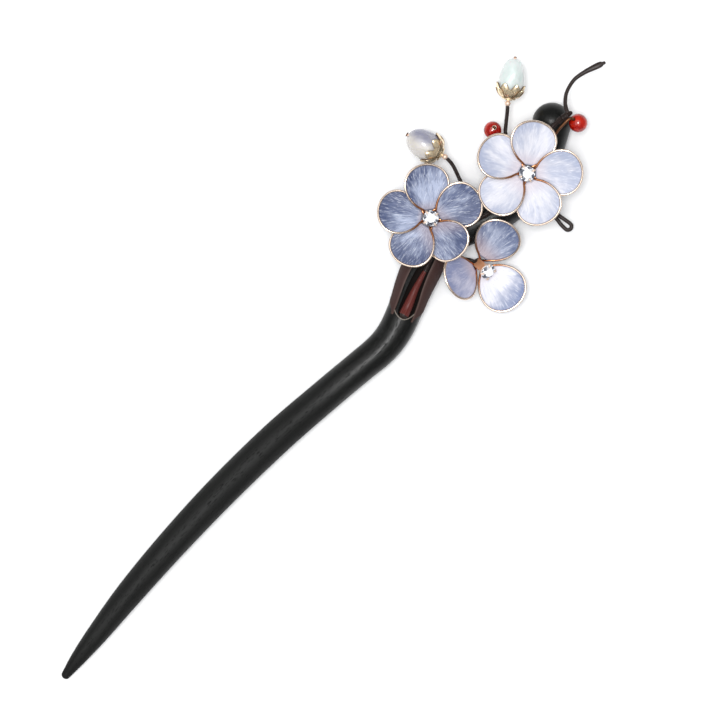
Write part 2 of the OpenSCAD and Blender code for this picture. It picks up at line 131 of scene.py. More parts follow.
# Middle of each flower, its stem and its petals: direction, pitch, roll, length share, width share,
# then the tilt of its setting, the direction of that tilt and how much taller its cup is
FLOWERS = {
    "a": {
        "at": (140.5, 4.3, 11.6),
        "stem": [
            (140.5, 4.3, 10.7), (140.5, 3.9, 9.7), (140.7, 2, 9.3), (141.6, -0.5, 9.4), (144.5, -2, 9.6),
        ],
        "petals": [
            (47, 4, 13, 1.02, 1), (120, 4, 13, 1, 0.97), (187, 4, 13, 1.01, 1), (260, 9, 13, 0.91, 0.94),
            (335, 4, 13, 1.02, 1.01),
        ],
        "setting": (5, 300, 0),
    },
    "b": {
        "at": (163.7, -6.4, 12.9),
        "stem": [(163.7, -6.4, 12), (163.6, -6.6, 11), (163, -6.9, 10.2), (161.5, -7.2, 10)],
        "petals": [
            (30, 4, 13, 0.99, 1.02), (101, 4, 13, 1.01, 1.01), (169, 4, 13, 1.02, 1.01),
            (241, 4, 13, 1.01, 1.01), (312, 4, 13, 1.04, 1.01),
        ],
        "setting": (6, 200, 0),
    },
    "c": {
        "at": (139.9, -11.6, 4.8),
        "stem": [
            (139.8, -10.9, 4.1), (139.2, -9.2, 3.6), (138, -7.4, 4.8), (137.5, -6.1, 7.2), (138, -4.2, 9.2),
            (139.5, -3.1, 9.7),
        ],
        "petals": [(3, 22, 12, 1.03, 0.99), (166, 40, -12, 0.98, 1), (264, 8, 0, 1.08, 1.04)],
        "setting": (44, 268, 2.7),
    },
}
# Ball at the foot of each bud, its turn and rise in degrees, and its stem
BUDS = {
    1: {
        "at": (154.2, 11.2, 7.6), "turn": 100, "rise": 4,
        "stem": [(154.2, 10.4, 7.6), (153.8, 8.3, 8), (152.1, 4.5, 8.7), (150.3, 0, 9), (150, -4, 9.1)],
    },
    2: {
        "at": (173.7, 8, 7.8), "turn": 31, "rise": 4,
        "stem": [
            (173.1, 7.5, 7.8), (171.4, 6.3, 8.2), (169.6, 5.1, 8.6), (167.5, 3.4, 9), (165.6, 0, 9),
            (164, -4, 9), (162.5, -6.4, 9),
        ],
    },
}
RED_BEADS = {
    1: {
        "at": (166.45, 6.6, 8.2), "axis": (0.26, 0.03, 0.97), "d": 4.3,
        "tail": [
            (165.85, 6.5, 5.9), (165.1, 5.7, 4.9), (164.7, 3.6, 5.2), (164.6, 0.5, 7), (163.4, -2.5, 8.4),
        ],
    },
    2: {
        "at": (181, -7.95, 8.85), "axis": (0.06, -0.64, -0.77), "d": 4.5,
        "tail": [
            (180.85, -6.3, 10.8), (180.2, -5.7, 11.1), (178.9, -5.5, 11), (176.8, -5.4, 10.4),
            (174.6, -5.6, 9.7),
        ],
    },
}


# ---------------------------------------------------------------- sizes and colours a user may change


def rgb(code):
    """Linear colour of a hex code, as Blender's colour sockets take it."""
    parts = [int(code[i:i + 2], 16) / 255 for i in (1, 3, 5)]
    return tuple(c / 12.92 if c <= 0.04045 else ((c + 0.055) / 1.055) ** 2.4 for c in parts)


def size(text, value, low, high):
    """A length in millimetres in the sidebar."""
    return FloatProperty(name=text, description=text + ", in millimetres", default=value, min=low, max=high)


def colour(text, code):
    """A colour in the sidebar."""
    words = "Colour of the " + text.lower()
    return FloatVectorProperty(name=text, description=words, default=rgb(code), subtype="COLOR", min=0, max=1)


class HairPinSizes(bpy.types.PropertyGroup):
    """Sizes of the fine pieces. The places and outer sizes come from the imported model."""

    petal_len: size("Petal length", 12.7, 12.2, 12.9)
    petal_wid: size("Petal width", 10.7, 9.5, 10.8)
    petal_cup: size("Rise of a petal's rim", 0.9, 0.3, 1.5)
    petal_wire_d: size("Petal wire", 0.56, 0.4, 0.7)
    film_t: size("Petal film thickness", 0.4, 0.3, 0.5)
    stone_d: size("Stone diameter", 3.8, 3.2, 4.2)
    drop_d_1: size("Grey bead diameter", 7.5, 7, 7.6)
    drop_len_1: size("Grey bead length", 9, 8.4, 9.4)
    drop_d_2: size("Green bead diameter", 6.6, 6.2, 7)
    drop_len_2: size("Green bead length", 9.6, 9, 10)
    bead_wire_d: size("Bead wire", 0.7, 0.5, 0.8)
    trunk_d: size("Main stem", 1.2, 1, 1.3)
    stem_d: size("Side stems", 1.0, 0.8, 1.1)
    thread_d: size("Winding thread", 0.3, 0.2, 0.4)
    groove_r: size("Groove radius", 1.9, 1.6, 2)
    cap_petals: IntProperty(name="Cap petals", description="Petals round a cap", default=7, min=5, max=9)


class HairPinColours(bpy.types.PropertyGroup):
    """Colours of the finishes."""

    ebony: colour("Ebony", "#080908")
    ebony_grain: colour("Ebony grain", "#1b1b19")
    wrap: colour("Neck wrap", "#3d2521")
    red_thread: colour("Red thread", "#43150f")
    dark_thread: colour("Dark thread", "#140d0b")
    gold_pale: colour("Pale gold", "#e3cfbe")
    gold_copper: colour("Copper end of the gold", "#b27955")
    cap_gold: colour("Cap gold", "#f9e4bf")
    chalcedony: colour("Grey bead", "#d3cec8")
    chalcedony_shade: colour("Grey bead shade", "#8d8ea2")
    jade: colour("Pale green bead", "#dde3e1")
    carnelian: colour("Red bead", "#8c0a04")


# ---------------------------------------------------------------- node materials


class Signal:
    """A value in a material's nodes. Arithmetic on it adds Math nodes."""

    def __init__(self, finish, socket):
        self.finish = finish
        self.socket = socket

    def math(self, operation, *values):
        return self.finish.node("Math", {"operation": operation}, dict(enumerate(values)))

    def __add__(self, other):
        return self.math("ADD", self, other)

    def __sub__(self, other):
        return self.math("SUBTRACT", self, other)

    def __rsub__(self, other):
        return self.math("SUBTRACT", other, self)

    def __mul__(self, other):
        return self.math("MULTIPLY", self, other)

    __radd__ = __add__
    __rmul__ = __mul__


class Finish:
    """A material under construction, round one Principled shader."""

    def __init__(self, name, **constants):
        self.material = bpy.data.materials.new(name)
        self.material.use_nodes = True
        self.tree = self.material.node_tree
        self.surface = self.tree.nodes["Principled BSDF"]
        for key, value in constants.items():
            self.fill(self.surface.inputs[key.replace("_", " ")], value)

    def fill(self, socket, value):
        """Puts a number, a colour or a link into a socket."""
        if isinstance(value, Signal):
            self.tree.links.new(value.socket, socket)
        elif socket.type == "RGBA":
            socket.default_value = (*value[:3], 1.0)
        else:
            socket.default_value = value

    def node(self, kind, settings, sockets, output=0):
        """Adds a node: its settings first, then the values or links of its sockets."""
        made = self.tree.nodes.new("ShaderNode" + kind)
        for key, value in settings.items():
            setattr(made, key, value)
        for key, value in sockets.items():
            self.fill(made.inputs[key], value)
        return Signal(self, made.outputs[output])

    def put(self, **sockets):
        """Links what varies over the surface to the shader."""
        for key, value in sockets.items():
            self.fill(self.surface.inputs[key.replace("_", " ")], value)
        return self.material

    def place(self):
        """Place on the piece in millimetres."""
        coordinates = self.node("TexCoord", {}, {}, "Object")
        return self.node("VectorMath", {"operation": "MULTIPLY"}, {0: coordinates, 1: (1 / MM,) * 3})

    def mark(self, name, output="Fac"):
        """A value that was stored on the mesh."""
        return self.node("Attribute", {"attribute_name": name}, {}, output)

    def point(self, x, y, z):
        return self.node("CombineXYZ", {}, {0: x, 1: y, 2: z})

    def noise(self, vector, scale, detail=3.0, rough=0.5, warp=0.0):
        sockets = {"Vector": vector, "Scale": scale, "Detail": detail, "Roughness": rough, "Distortion": warp}
        return self.node("TexNoise", {}, sockets, "Fac")

    def between(self, value, low, high, start=0.0, end=1.0):
        """Smooth step of a value from low to high."""
        sockets = {"Value": value, "From Min": low, "From Max": high, "To Min": start, "To Max": end}
        return self.node("MapRange", {"interpolation_type": "SMOOTHSTEP"}, sockets)

    def tint(self, factor, first, second):
        """Colour from first at 0 to second at 1."""
        return self.node("Mix", {"data_type": "RGBA"}, {0: factor, 6: first, 7: second}, 2)

    def bump(self, height, strength, distance):
        """Normal of a surface raised by a height of 0 to 1, distance in millimetres."""
        return self.node("Bump", {}, {"Height": height, "Strength": strength, "Distance": distance * MM})


made_finishes = {}


def finish_of(name, maker):
    """The material of that name, made once."""
    if name not in made_finishes:
        made_finishes[name] = maker(name)
    return made_finishes[name]


def tones():
    return bpy.context.scene.hair_pin_colours


def sizes():
    return bpy.context.scene.hair_pin_sizes


def ebony(name):
    """Ebony, satin on the shaft and polished from the crook on, with fibres and short pores."""
    f = Finish(name, Specular_IOR_Level=0.22)
    grain = f.mark("grain", "Vector")

    def stretched(along, across):
        return f.node("VectorMath", {"operation": "MULTIPLY"}, {0: grain, 1: (along, across, across)})

    fibres = f.noise(stretched(0.05, 1.0), 2.6, 5.0, 0.62, 0.3)
    streaks = f.noise(stretched(0.02, 0.35), 1.4)
    pores = f.between(f.noise(stretched(0.4, 3.6), 1.7, 2.0), 0.6, 0.68)
    pit = f.mark("pit")
    along = f.node("SeparateXYZ", {}, {0: grain}, "X")
    satin = f.between(along, *POLISH_ZONE, 1.0, 0.0)
    shade = f.tint(f.between(fibres, 0.4, 0.8) * 0.5 + streaks * 0.25, tones().ebony, tones().ebony_grain)
    shade = f.tint(pores * 0.75, shade, rgb("#040404"))
    shade = f.tint(pit, shade, rgb("#120a07"))
    return f.put(
        Base_Color=shade,
        Roughness=0.2 + satin * 0.25 + fibres * 0.16 + streaks * 0.1 + pores * 0.3 + pit * 0.5,
        Normal=f.bump(fibres * 0.4 - pores, 0.5, 0.07),
    )


def wrap(name):
    """Matt brown wrap with a fine tooth and a painted highlight along its edges."""
    f = Finish(name, Specular_IOR_Level=0.35)
    tooth = f.noise(f.place(), 9.0, 3.0, 0.7)
    cloud = f.noise(f.place(), 0.5, 2.0)
    edge = f.mark("edge")
    shade = f.tint(cloud * 0.5 + tooth * 0.3, tones().wrap, rgb("#2a1815"))
    # Painted highlight: the edge mark lifts the colour to a pale brown along the wrap's rims and lower end.
    shade = f.tint(edge * 0.35, shade, rgb("#5a4238"))
    return f.put(Base_Color=shade, Roughness=0.62 + tooth * 0.2 - edge * 0.2, Normal=f.bump(tooth, 0.3, 0.04))


def lip_highlight(name):
    """Coated lip of the channel, a thin pale line that is a painted highlight."""
    f = Finish(name, Coat_Weight=0.6, Coat_Roughness=0.15)
    tooth = f.noise(f.place(), 3.0, 2.0)
    return f.put(Base_Color=f.tint(tooth, rgb("#8d8378"), rgb("#4f463e")), Roughness=0.3 + tooth * 0.2)


def thread(name, code, crown_highlight, coat):
    """Spun thread: a painted highlight on the crowns of its ply, painted shade in its valleys, and a little
    sheen.
    """
    f = Finish(name, Coat_Weight=coat, Coat_Roughness=0.25, Specular_IOR_Level=0.25)
    spin = f.mark("spin")
    ply = f.node("Math", {"operation": "SINE"}, {0: spin * 14.0}) * 0.5 + 0.5
    worn = f.noise(f.place(), 0.9, 3.0, 0.6)
    # Painted highlight and shade: lighter on the ply's crowns and darker in its valleys, mixed with random
    # wear.
    shade = f.tint(ply * 0.45 + worn * 0.35, code, crown_highlight)
    return f.put(Base_Color=shade, Roughness=0.42 + worn * 0.25, Normal=f.bump(ply, 0.35, 0.03))


def dark_thread(name):
    # The second colour is the painted highlight on the thread's crowns.
    return thread(name, tones().dark_thread, rgb("#33231e"), 0.2)


def red_thread(name):
    # The second colour is the painted highlight on the thread's crowns.
    return thread(name, tones().red_thread, rgb("#74302a"), 0.3)


def wire_metal(name, pale, warm, low, high, shine=1.0):
    """Plated wire, pale on the outer arcs and coppery towards the flower's middle, with rubbed spots."""
    f = Finish(name, Metallic=shine)
    reach = f.mark("reach")
    rub = f.noise(f.place(), 1.6, 4.0, 0.65)
    fine = f.noise(f.place(), 7.0, 2.0)
    outward = f.between(reach + (rub - 0.5) * 0.35, low, high)
    shade = f.tint(outward, warm, pale)
    shade = f.tint(f.between(rub, 0.62, 0.78) * 0.2, shade, rgb("#7d4a33"))
    return f.put(
        Base_Color=shade,
        Roughness=0.16 + (1 - shine) * 0.5 + fine * 0.14 + f.between(rub, 0.55, 0.8) * 0.12,
        Normal=f.bump(fine, 0.08, 0.03),
    )


def petal_gold(name):
    return wire_metal(name, tones().gold_pale, tones().gold_copper, 0.3, 0.62)


def setting_gold(name):
    return wire_metal(name, tones().gold_pale, rgb("#d99a70"), 0.2, 0.9, 0.5)


def cap_gold(name):
    """Polished cap metal, with painted shade in the hollows between its petals."""
    f = Finish(name, Metallic=0.85)
    hollow = f.mark("hollow")
    fine = f.noise(f.place(), 4.0, 3.0)
    # Painted shade: the mark darkens the gold towards brown in the hollows and under the petals.
    shade = f.tint(f.between(hollow, 0.25, 1.0), tones().cap_gold, rgb("#6b4320"))
    return f.put(Base_Color=shade, Roughness=0.2 + fine * 0.14, Normal=f.bump(fine, 0.12, 0.04))


def copper(name):
    """Brown lacquered copper wire."""
    f = Finish(name, Metallic=0.85)
    rub = f.noise(f.place(), 2.2, 4.0, 0.6)
    return f.put(Base_Color=f.tint(rub, rgb("#3c2418"), rgb("#7c5236")), Roughness=0.25 + rub * 0.25)


def film(name, look):
    """Glossy petal film with fibres that fan out from the petal's foot, and clouds between them."""
    f = Finish(name, Coat_Weight=look["gloss"], Coat_Roughness=0.16, Specular_IOR_Level=0.25)
    x = f.node("SeparateXYZ", {}, {0: f.place()}, "X")
    y = f.node("SeparateXYZ", {}, {0: f.place()}, "Y")
    seed = f.mark("seed")
    edge = f.mark("edge")
    wander = f.noise(f.point(x, y, seed), 0.35, 2.0)

    def fan(foot, side):
        return f.node("Math", {"operation": "ARCTAN2"}, {0: y - side, 1: x + foot})

    far = f.node("Math", {"operation": "SQRT"}, {0: x * x + y * y})
    fine = f.noise(f.point(fan(0.4, 0.0) * 40.0 + wander * 3.0, far * 0.5, seed * 3.1), 1.0, 5.0, 0.75)
    slant = fan(5.0, look["cross"]) * 62.0 - wander * 4.0
    cross = f.noise(f.point(slant, far * 0.4, seed * 4.7), 1.0, 4.0, 0.68)
    broad = f.noise(f.point(fan(0.4, 0.0) * 7.0 + wander * 1.5, far * 0.12, seed * 1.7), 1.0, 2.0)
    cloud = f.noise(f.point(x * 0.8, y, seed * 5.3), look["cloud"], 3.0, 0.6, 0.6)
    along, across, start = look["lean"]
    rim = 1 - f.between(edge, 0.0, look["rim"])
    lean = x * along + y * across + start
    deep = f.between(rim * 0.3 + lean + (broad - 0.5) * 1.2 + (cloud - 0.5) * 1.4, 0.0, 1.0)
    shade = f.tint(deep, look["pale"], look["deep"])
    shade = f.tint(f.between(cloud * 0.55 + broad * 0.45, 0.42, 0.66) * 0.4, shade, look["mid"])
    foot = 1 - f.between(x - y * look["warm_side"], 2.2, look["base"])
    shade = f.tint(foot * 0.75, shade, look["warm"])
    light = f.between(fine * 0.6 + cross * 0.4, 0.5, 0.66)
    shade = f.tint(light * look["fibre"], shade, look["white"])
    shade = f.tint((1 - f.between(fine, 0.34, 0.47)) * look["dark"], shade, look["line"])
    shade = f.tint(f.between(cross, 0.58, 0.7) * look["fibre"] * 0.6, shade, look["white"])
    # Painted shade: a dark line round the film's edge, where the wire shades it.
    shade = f.tint((1 - f.between(edge, 0.0, 0.1)) * 0.8, shade, look["line"])
    swell = f.noise(f.point(x, y, seed), 0.5, 2.0)
    return f.put(
        Base_Color=shade,
        Roughness=0.34 + fine * 0.2,
        Normal=f.bump(fine * 0.35 + swell * 1.6, 0.35, 0.12),
    )


def look(deep, mid, pale, white, line, warm, **numbers):
    """The colours and numbers of one kind of petal film."""
    kept = {
        "lean": (0.07, 0.0, -0.2), "cloud": 0.24, "rim": 0.6, "fibre": 0.6, "dark": 0.45, "base": 6.0,
        "warm_side": 0.0, "cross": 2.5, "gloss": 0.3,
    }
    kept.update(numbers)
    codes = {"deep": deep, "mid": mid, "pale": pale, "white": white, "line": line, "warm": warm}
    kept.update({key: rgb(code) for key, code in codes.items()})
    return kept


def slate(**numbers):
    codes = ("#414b6c", "#6c7798", "#a3acc4", "#e4e8f1", "#262e4c", "#9a919d")
    return look(*codes, fibre=0.55, dark=0.62, **numbers)


def lavender(**numbers):
    codes = ("#98a0b8", "#bcc0cf", "#d0d0d8", "#efeff4", "#8a90a6", "#c6bcc3")
    return look(*codes, fibre=0.45, dark=0.3, **numbers)


FILMS = {
    "film_a_1": slate(lean=(0.06, 0.07, -0.15), base=5.0),
    "film_a_2": slate(lean=(0.08, -0.08, -0.12), cross=-2.5, base=3.5),
    "film_a_3": slate(lean=(0.09, 0.02, -0.08), base=6.5, warm_side=0.5),
    "film_a_4": slate(lean=(-0.01, 0.09, 0.7), cross=-2.5, base=6.5, warm_side=0.6),
    "film_a_5": slate(lean=(0.05, -0.06, 0.28), base=5.5, warm_side=-0.4),
    "film_b_1": lavender(lean=(0.03, 0.03, 0.0), cloud=0.2),
    "film_b_2": lavender(lean=(0.05, 0.04, -0.05), cloud=0.18, cross=-2.5),
    "film_b_3": lavender(lean=(0.03, 0.02, -0.05), cloud=0.2, base=7.0),
    "film_b_4": lavender(lean=(0.03, 0.0, 0.02), cloud=0.2, base=6.5, cross=-2.5),
    "film_b_5": lavender(lean=(0.04, 0.02, 0.22), cloud=0.22),
    "film_c_1": look(
        "#4e5a7c", "#7c86a0", "#a4abc0", "#dfe3ee", "#39415f", "#b3a0a2", base=7.5, warm_side=0.3,
    ),
    "film_c_2": look(
        "#7c83a6", "#a0a4bf", "#bcbbcd", "#dfdfe9", "#5f6586", "#baafb9",
        lean=(0.05, -0.1, 0.2), fibre=0.4, dark=0.3,
    ),
    "film_c_3": look(
        "#66749a", "#b6bac9", "#d6d6de", "#efeff5", "#646d8b", "#cfc8cf",
        lean=(0.16, 0.05, -1.15), rim=0.25, cloud=0.18, dark=0.3, fibre=0.45,
    ),
}


def film_maker(name):
    return film(name, FILMS[name])


def crystal(name):
    """Clear cut glass. Each facet is painted a random brightness, a painted reflection, and glows with it
    through emission.
    """
    f = Finish(name, Transmission_Weight=0.5, IOR=1.6, Specular_IOR_Level=0.7, Emission_Strength=0.4)
    facing = f.node("TexCoord", {}, {}, "Normal")
    # Painted reflection: a random brightness for each facet, from the way it faces.
    painted_sparkle = f.between(f.noise(facing, 4.2, 3.0, 0.75), 0.43, 0.56)
    haze = f.noise(f.place(), 1.4, 2.0)
    return f.put(
        Base_Color=f.tint(painted_sparkle, rgb("#4a4d57"), rgb("#ffffff")),
        # Painted glow: the facets give off light of their own, though the stone is no lamp.
        Emission_Color=f.tint(painted_sparkle, rgb("#15161a"), rgb("#fdfdff")),
        Roughness=haze * 0.04,
    )


def foil(name):
    """Silver foil behind the stone."""
    f = Finish(name, Metallic=1.0)
    haze = f.noise(f.place(), 2.0, 2.0)
    return f.put(Base_Color=f.tint(haze, rgb("#eef0f5"), rgb("#c9ccd8")), Roughness=0.05 + haze * 0.08)


def chalcedony(name):
    """Milky grey bead, clouded violet on one side."""
    f = Finish(
        name, Subsurface_Weight=0.45, Subsurface_Radius=(0.002, 0.002, 0.0026), Subsurface_Scale=1.0,
        Coat_Weight=0.8, Coat_Roughness=0.06, Transmission_Weight=0.15,
    )
    f.surface.inputs["Roughness"].default_value = 0.3
    cloud = f.noise(f.place(), 0.22, 3.0, 0.5, 0.4)
    veil = f.between(f.node("SeparateXYZ", {}, {0: f.place()}, "Y") * -0.16 + cloud, 0.3, 0.95)
    shade = f.tint(veil, tones().chalcedony, tones().chalcedony_shade)
    return f.put(Base_Color=shade, Roughness=0.22 + cloud * 0.12, Normal=f.bump(cloud, 0.05, 0.1))


def jade(name):
    """Pale green translucent bead with soft veins."""
    f = Finish(
        name, Subsurface_Weight=0.5, Subsurface_Radius=(0.0018, 0.0026, 0.0024), Subsurface_Scale=1.0,
        Coat_Weight=0.7, Coat_Roughness=0.1, Transmission_Weight=0.1,
    )
    cloud = f.noise(f.place(), 0.3, 4.0, 0.55, 0.8)
    shade = f.tint(f.between(cloud, 0.35, 0.7), tones().jade, rgb("#ccd8d4"))
    return f.put(Base_Color=shade, Roughness=0.28 + cloud * 0.15, Normal=f.bump(cloud, 0.15, 0.2))


def carnelian(name):
    """Glossy red bead with an orange depth."""
    f = Finish(
        name, Subsurface_Weight=0.3, Subsurface_Radius=(0.0025, 0.0006, 0.0002), Subsurface_Scale=1.0,
        Coat_Weight=0.5, Coat_Roughness=0.04, Specular_IOR_Level=0.3,
    )
    cloud = f.noise(f.place(), 0.45, 3.0, 0.6, 0.5)
    shade = f.tint(f.between(cloud, 0.4, 0.7), tones().carnelian, rgb("#b82208"))
    return f.put(Base_Color=shade, Roughness=0.12 + cloud * 0.1)


def floor_paper(name):
    """Plain white paper."""
    f = Finish(name, Specular_IOR_Level=0.1)
    tooth = f.noise(f.place(), 0.4, 2.0)
    return f.put(Base_Color=f.tint(tooth, rgb("#f6f6f6"), rgb("#f3f3f3")), Roughness=0.9)


# ---------------------------------------------------------------- shapes


class Shape:
    """Points and faces of one piece, in millimetres, with values stored on its points."""

    def __init__(self):
        self.points = np.zeros((0, 3))
        self.faces = []
        self.finish = []
        self.marks = {}

    def add(self, points, faces, finish=0, **marks):
        """Adds points and faces. A mark is one value for all of them or one for each."""
        start = len(self.points)
        points = np.asarray(points, float).reshape(-1, 3)
        self.points = np.vstack([self.points, points])
        self.faces += [tuple(start + i for i in face) for face in faces]
        self.finish += [finish] * len(faces)
        for key in set(marks) | set(self.marks):
            kept = self.marks.get(key, np.zeros(start))
            self.marks[key] = np.concatenate([kept, np.broadcast_to(marks.get(key, 0.0), (len(points),))])

    def skin(self, rings, finish=0, lids=True, **marks):
        """Adds a surface through rows of points. A row mark is spread over its row."""
        rings = np.asarray(rings, float)
        rows, sides = rings.shape[:2]
        spread = {}
        for key, value in marks.items():
            value = np.asarray(value, float)
            spread[key] = (value[:, None] if value.ndim == 1 else value) * np.ones((rows, sides))
        faces = []
        for i in range(rows - 1):
            for k in range(sides):
                n = (k + 1) % sides
                faces.append((i * sides + k, i * sides + n, (i + 1) * sides + n, (i + 1) * sides + k))
        if lids:
            faces.append(tuple(range(sides - 1, -1, -1)))
            faces.append(tuple((rows - 1) * sides + k for k in range(sides)))
        self.add(rings.reshape(-1, 3), faces, finish, **{k: v.ravel() for k, v in spread.items()})

    def tube(self, path, wide, high=None, sides=12, finish=0, **marks):
        """Adds a tube along a path, with rounded ends. Widths are radii, one or one for each point."""
        path = np.asarray(path, float)
        wide = np.broadcast_to(np.asarray(wide, float), (len(path),))
        high = wide if high is None else np.broadcast_to(np.asarray(high, float), (len(path),))
        heading, across, up = frames(path)
        steps = [math.radians(a) for a in (80, 60, 40, 20)]
        rows = [(0, math.sin(a), math.cos(a), -1) for a in steps]
        rows += [(i, 0.0, 1.0, 1) for i in range(len(path))]
        rows += [(len(path) - 1, math.sin(a), math.cos(a), 1) for a in reversed(steps)]
        angle = np.arange(sides) * 2 * math.pi / sides
        rings, picked = [], []
        for i, reach, share, sign in rows:
            centre = path[i] + sign * reach * min(wide[i], high[i]) * heading[i]
            ring = centre + share * (
                wide[i] * np.cos(angle)[:, None] * across[i] + high[i] * np.sin(angle)[:, None] * up[i]
            )
            rings.append(ring)
            picked.append(i)
        spread = {}
        for key, value in marks.items():
            value = np.broadcast_to(np.asarray(value, float), (len(path),))
            spread[key] = value[picked]
        self.skin(rings, finish, **spread)


def between_points(a, b, c, d, t):
    """Point at a share t from b to c, on the smooth curve through a, b, c and d."""
    bend = (2 * a - 5 * b + 4 * c - d) * t ** 2
    return 0.5 * (2 * b + (c - a) * t + bend + (3 * b - a - 3 * c + d) * t ** 3)


def circle(r, angle, z):
    """Points round the Z axis at a radius and a height."""
    return np.stack([r * np.cos(angle), r * np.sin(angle), 0 * angle + z], axis=1)


def spline(points, per_span=8):
    """Points on a smooth curve through chosen points."""
    p = np.array(points, float)
    p = np.vstack([2 * p[0] - p[1], p, 2 * p[-1] - p[-2]])
    out = []
    for a, b, c, d in zip(p, p[1:], p[2:], p[3:]):
        for t in np.arange(per_span) / per_span:
            out.append(between_points(a, b, c, d, t))
    out.append(p[-2])
    return np.array(out)


def lengths(path):
    """Length along a path at each of its points."""
    steps = np.linalg.norm(np.diff(path[:, :3], axis=0), axis=1)
    return np.concatenate([[0.0], np.cumsum(steps)])


def evenly(path, step):
    """The path at equal steps."""
    s = lengths(path)
    at = np.linspace(0, s[-1], max(2, int(round(s[-1] / step)) + 1))
    return np.stack([np.interp(at, s, path[:, k]) for k in range(path.shape[1])], axis=1)


def frames(path):
    """Heading, across and up at each point of a path, carried along so that nothing twists."""
    heading = np.gradient(path, axis=0)
    heading /= np.linalg.norm(heading, axis=1)[:, None]
    up = np.zeros_like(heading)
    kept = SIDE
    for i, t in enumerate(heading):
        kept = kept - (kept @ t) * t
        kept = kept / np.linalg.norm(kept)
        up[i] = kept
    return heading, np.cross(heading, up), up


def wind(shape, path, radius, pitch, finish, thread_r=None, steps=12, sides=6):
    """Winds one strand of thread round a path, its turns touching."""
    thread_r = pitch * 0.55 if thread_r is None else thread_r
    fine = evenly(np.column_stack([path, np.broadcast_to(radius, (len(path),))]), pitch / steps)
    line, around = fine[:, :3], fine[:, 3]
    _, across, up = frames(line)
    angle = lengths(line) / pitch * 2 * math.pi
    out = (around - thread_r)[:, None]
    strand = line + out * (np.cos(angle)[:, None] * across + np.sin(angle)[:, None] * up)
    shape.tube(strand, thread_r, sides=sides, finish=finish, spin=angle)


def turned(*angles):
    """Matrix of turns about Z, then Y, then X, in degrees."""
    z, y, x = angles
    return (
        Matrix.Rotation(math.radians(z), 4, "Z")
        @ Matrix.Rotation(math.radians(y), 4, "Y")
        @ Matrix.Rotation(math.radians(x), 4, "X")
    )


def seat(at=(0, 0, 0), turn=None):
    """Where a piece's own origin goes, in the frame, from a place in millimetres."""
    spot = Matrix.Translation((Vector(at) + TIP) * MM)
    return spot @ turn if turn else spot


def along_axis(axis):
    """Turns +Z to a direction."""
    d = Vector(axis).normalized()
    return turned(math.degrees(math.atan2(d.y, d.x)), math.degrees(math.acos(d.z)), 0)


def mesh_of(name, shape, finishes, angle):
    """Mesh of a shape in metres, faces outward, smooth except where they meet at more than the angle."""
    mesh = bpy.data.meshes.new(name)
    mesh.from_pydata((shape.points * MM).tolist(), [], shape.faces)
    outward = bmesh.new()
    outward.from_mesh(mesh)
    bmesh.ops.recalc_face_normals(outward, faces=outward.faces)
    outward.to_mesh(mesh)
    outward.free()
    for made in finishes:
        mesh.materials.append(made)
    mesh.polygons.foreach_set("material_index", shape.finish)
    mesh.polygons.foreach_set("use_smooth", [True] * len(shape.faces))
    mesh.set_sharp_from_angle(angle=math.radians(angle))
    for key, values in shape.marks.items():
        mesh.attributes.new(key, "FLOAT", "POINT").data.foreach_set("value", values.astype(np.float32))
    mesh.validate()
    mesh.update()
    return mesh


def place_piece(name, mesh, nodes, place=None, slack=1.2):
    """Puts a mesh on the body of the nodes that it stands for, and checks that it lies where they do."""
    obj = bpy.data.objects.new(name, mesh)
    bpy.context.scene.collection.objects.link(obj)
    obj.matrix_world = seat() if place is None else place
    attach(obj, frame["nodes"][nodes[0]]["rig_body"])
    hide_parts(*nodes)
    corners = np.array([obj.matrix_world @ v.co for v in mesh.vertices])
    lows, highs = zip(*[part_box(n) for n in nodes])
    low = np.min([list(v) for v in lows], axis=0) - slack * MM
    high = np.max([list(v) for v in highs], axis=0) + slack * MM
    if (corners.min(0) < low).any() or (corners.max(0) > high).any():
        raise ValueError(f"{name} strays from {nodes}: {corners.min(0) - low}, {high - corners.max(0)}")
    return obj


def piece(name, shape, finishes, nodes, place=None, angle=40, slack=1.2):
    """Makes one piece of the object from a shape."""
    return place_piece(name, mesh_of(name, shape, finishes, angle), nodes, place, slack)


# ---------------------------------------------------------------- wood and its bindings


def wood_path():
    """Fine points along the middle of the wood: x, y, height and radius."""
    p = evenly(spline(PIN_ROUTE, 12), 0.7)
    return np.column_stack([p[:, :2], p[:, 2], p[:, 2]])


def wood_frames(path):
    heading = np.gradient(path[:, :3] * (1, 1, 0), axis=0)
    heading /= np.linalg.norm(heading, axis=1)[:, None]
    across = np.stack([heading[:, 1], -heading[:, 0], 0 * heading[:, 0]], axis=1)
    return heading, across


def wood_shape(path, sides=72):
    """The carved stick: round, a little uneven from the knife, with rounded ends."""
    heading, across = wood_frames(path)
    s = lengths(path)
    angle = np.arange(sides) * 2 * math.pi / sides
    rows = [(0, -math.sin(a), math.cos(a)) for a in np.radians([86, 74, 60, 45, 30, 15])]
    rows += [(i, 0.0, 1.0) for i in range(len(path))]
    rows += [(len(path) - 1, math.sin(a), math.cos(a)) for a in np.radians([8, 17, 27, 38, 50, 62, 74, 86])]
    rings = []
    for i, reach, share in rows:
        r = path[i, 3]
        knife = 0.03 * np.sin(3 * angle + s[i] * 0.11) + 0.02 * np.sin(5 * angle - s[i] * 0.23)
        knife *= np.clip(np.sin(angle) + 0.6, 0, 1)
        ring_r = (r + knife)[:, None] * share
        centre = path[i, :3] + reach * r * heading[i]
        rings.append(centre + ring_r * (np.cos(angle)[:, None] * across[i] + np.sin(angle)[:, None] * UP))
    shape = Shape()
    shape.skin(rings)
    return shape


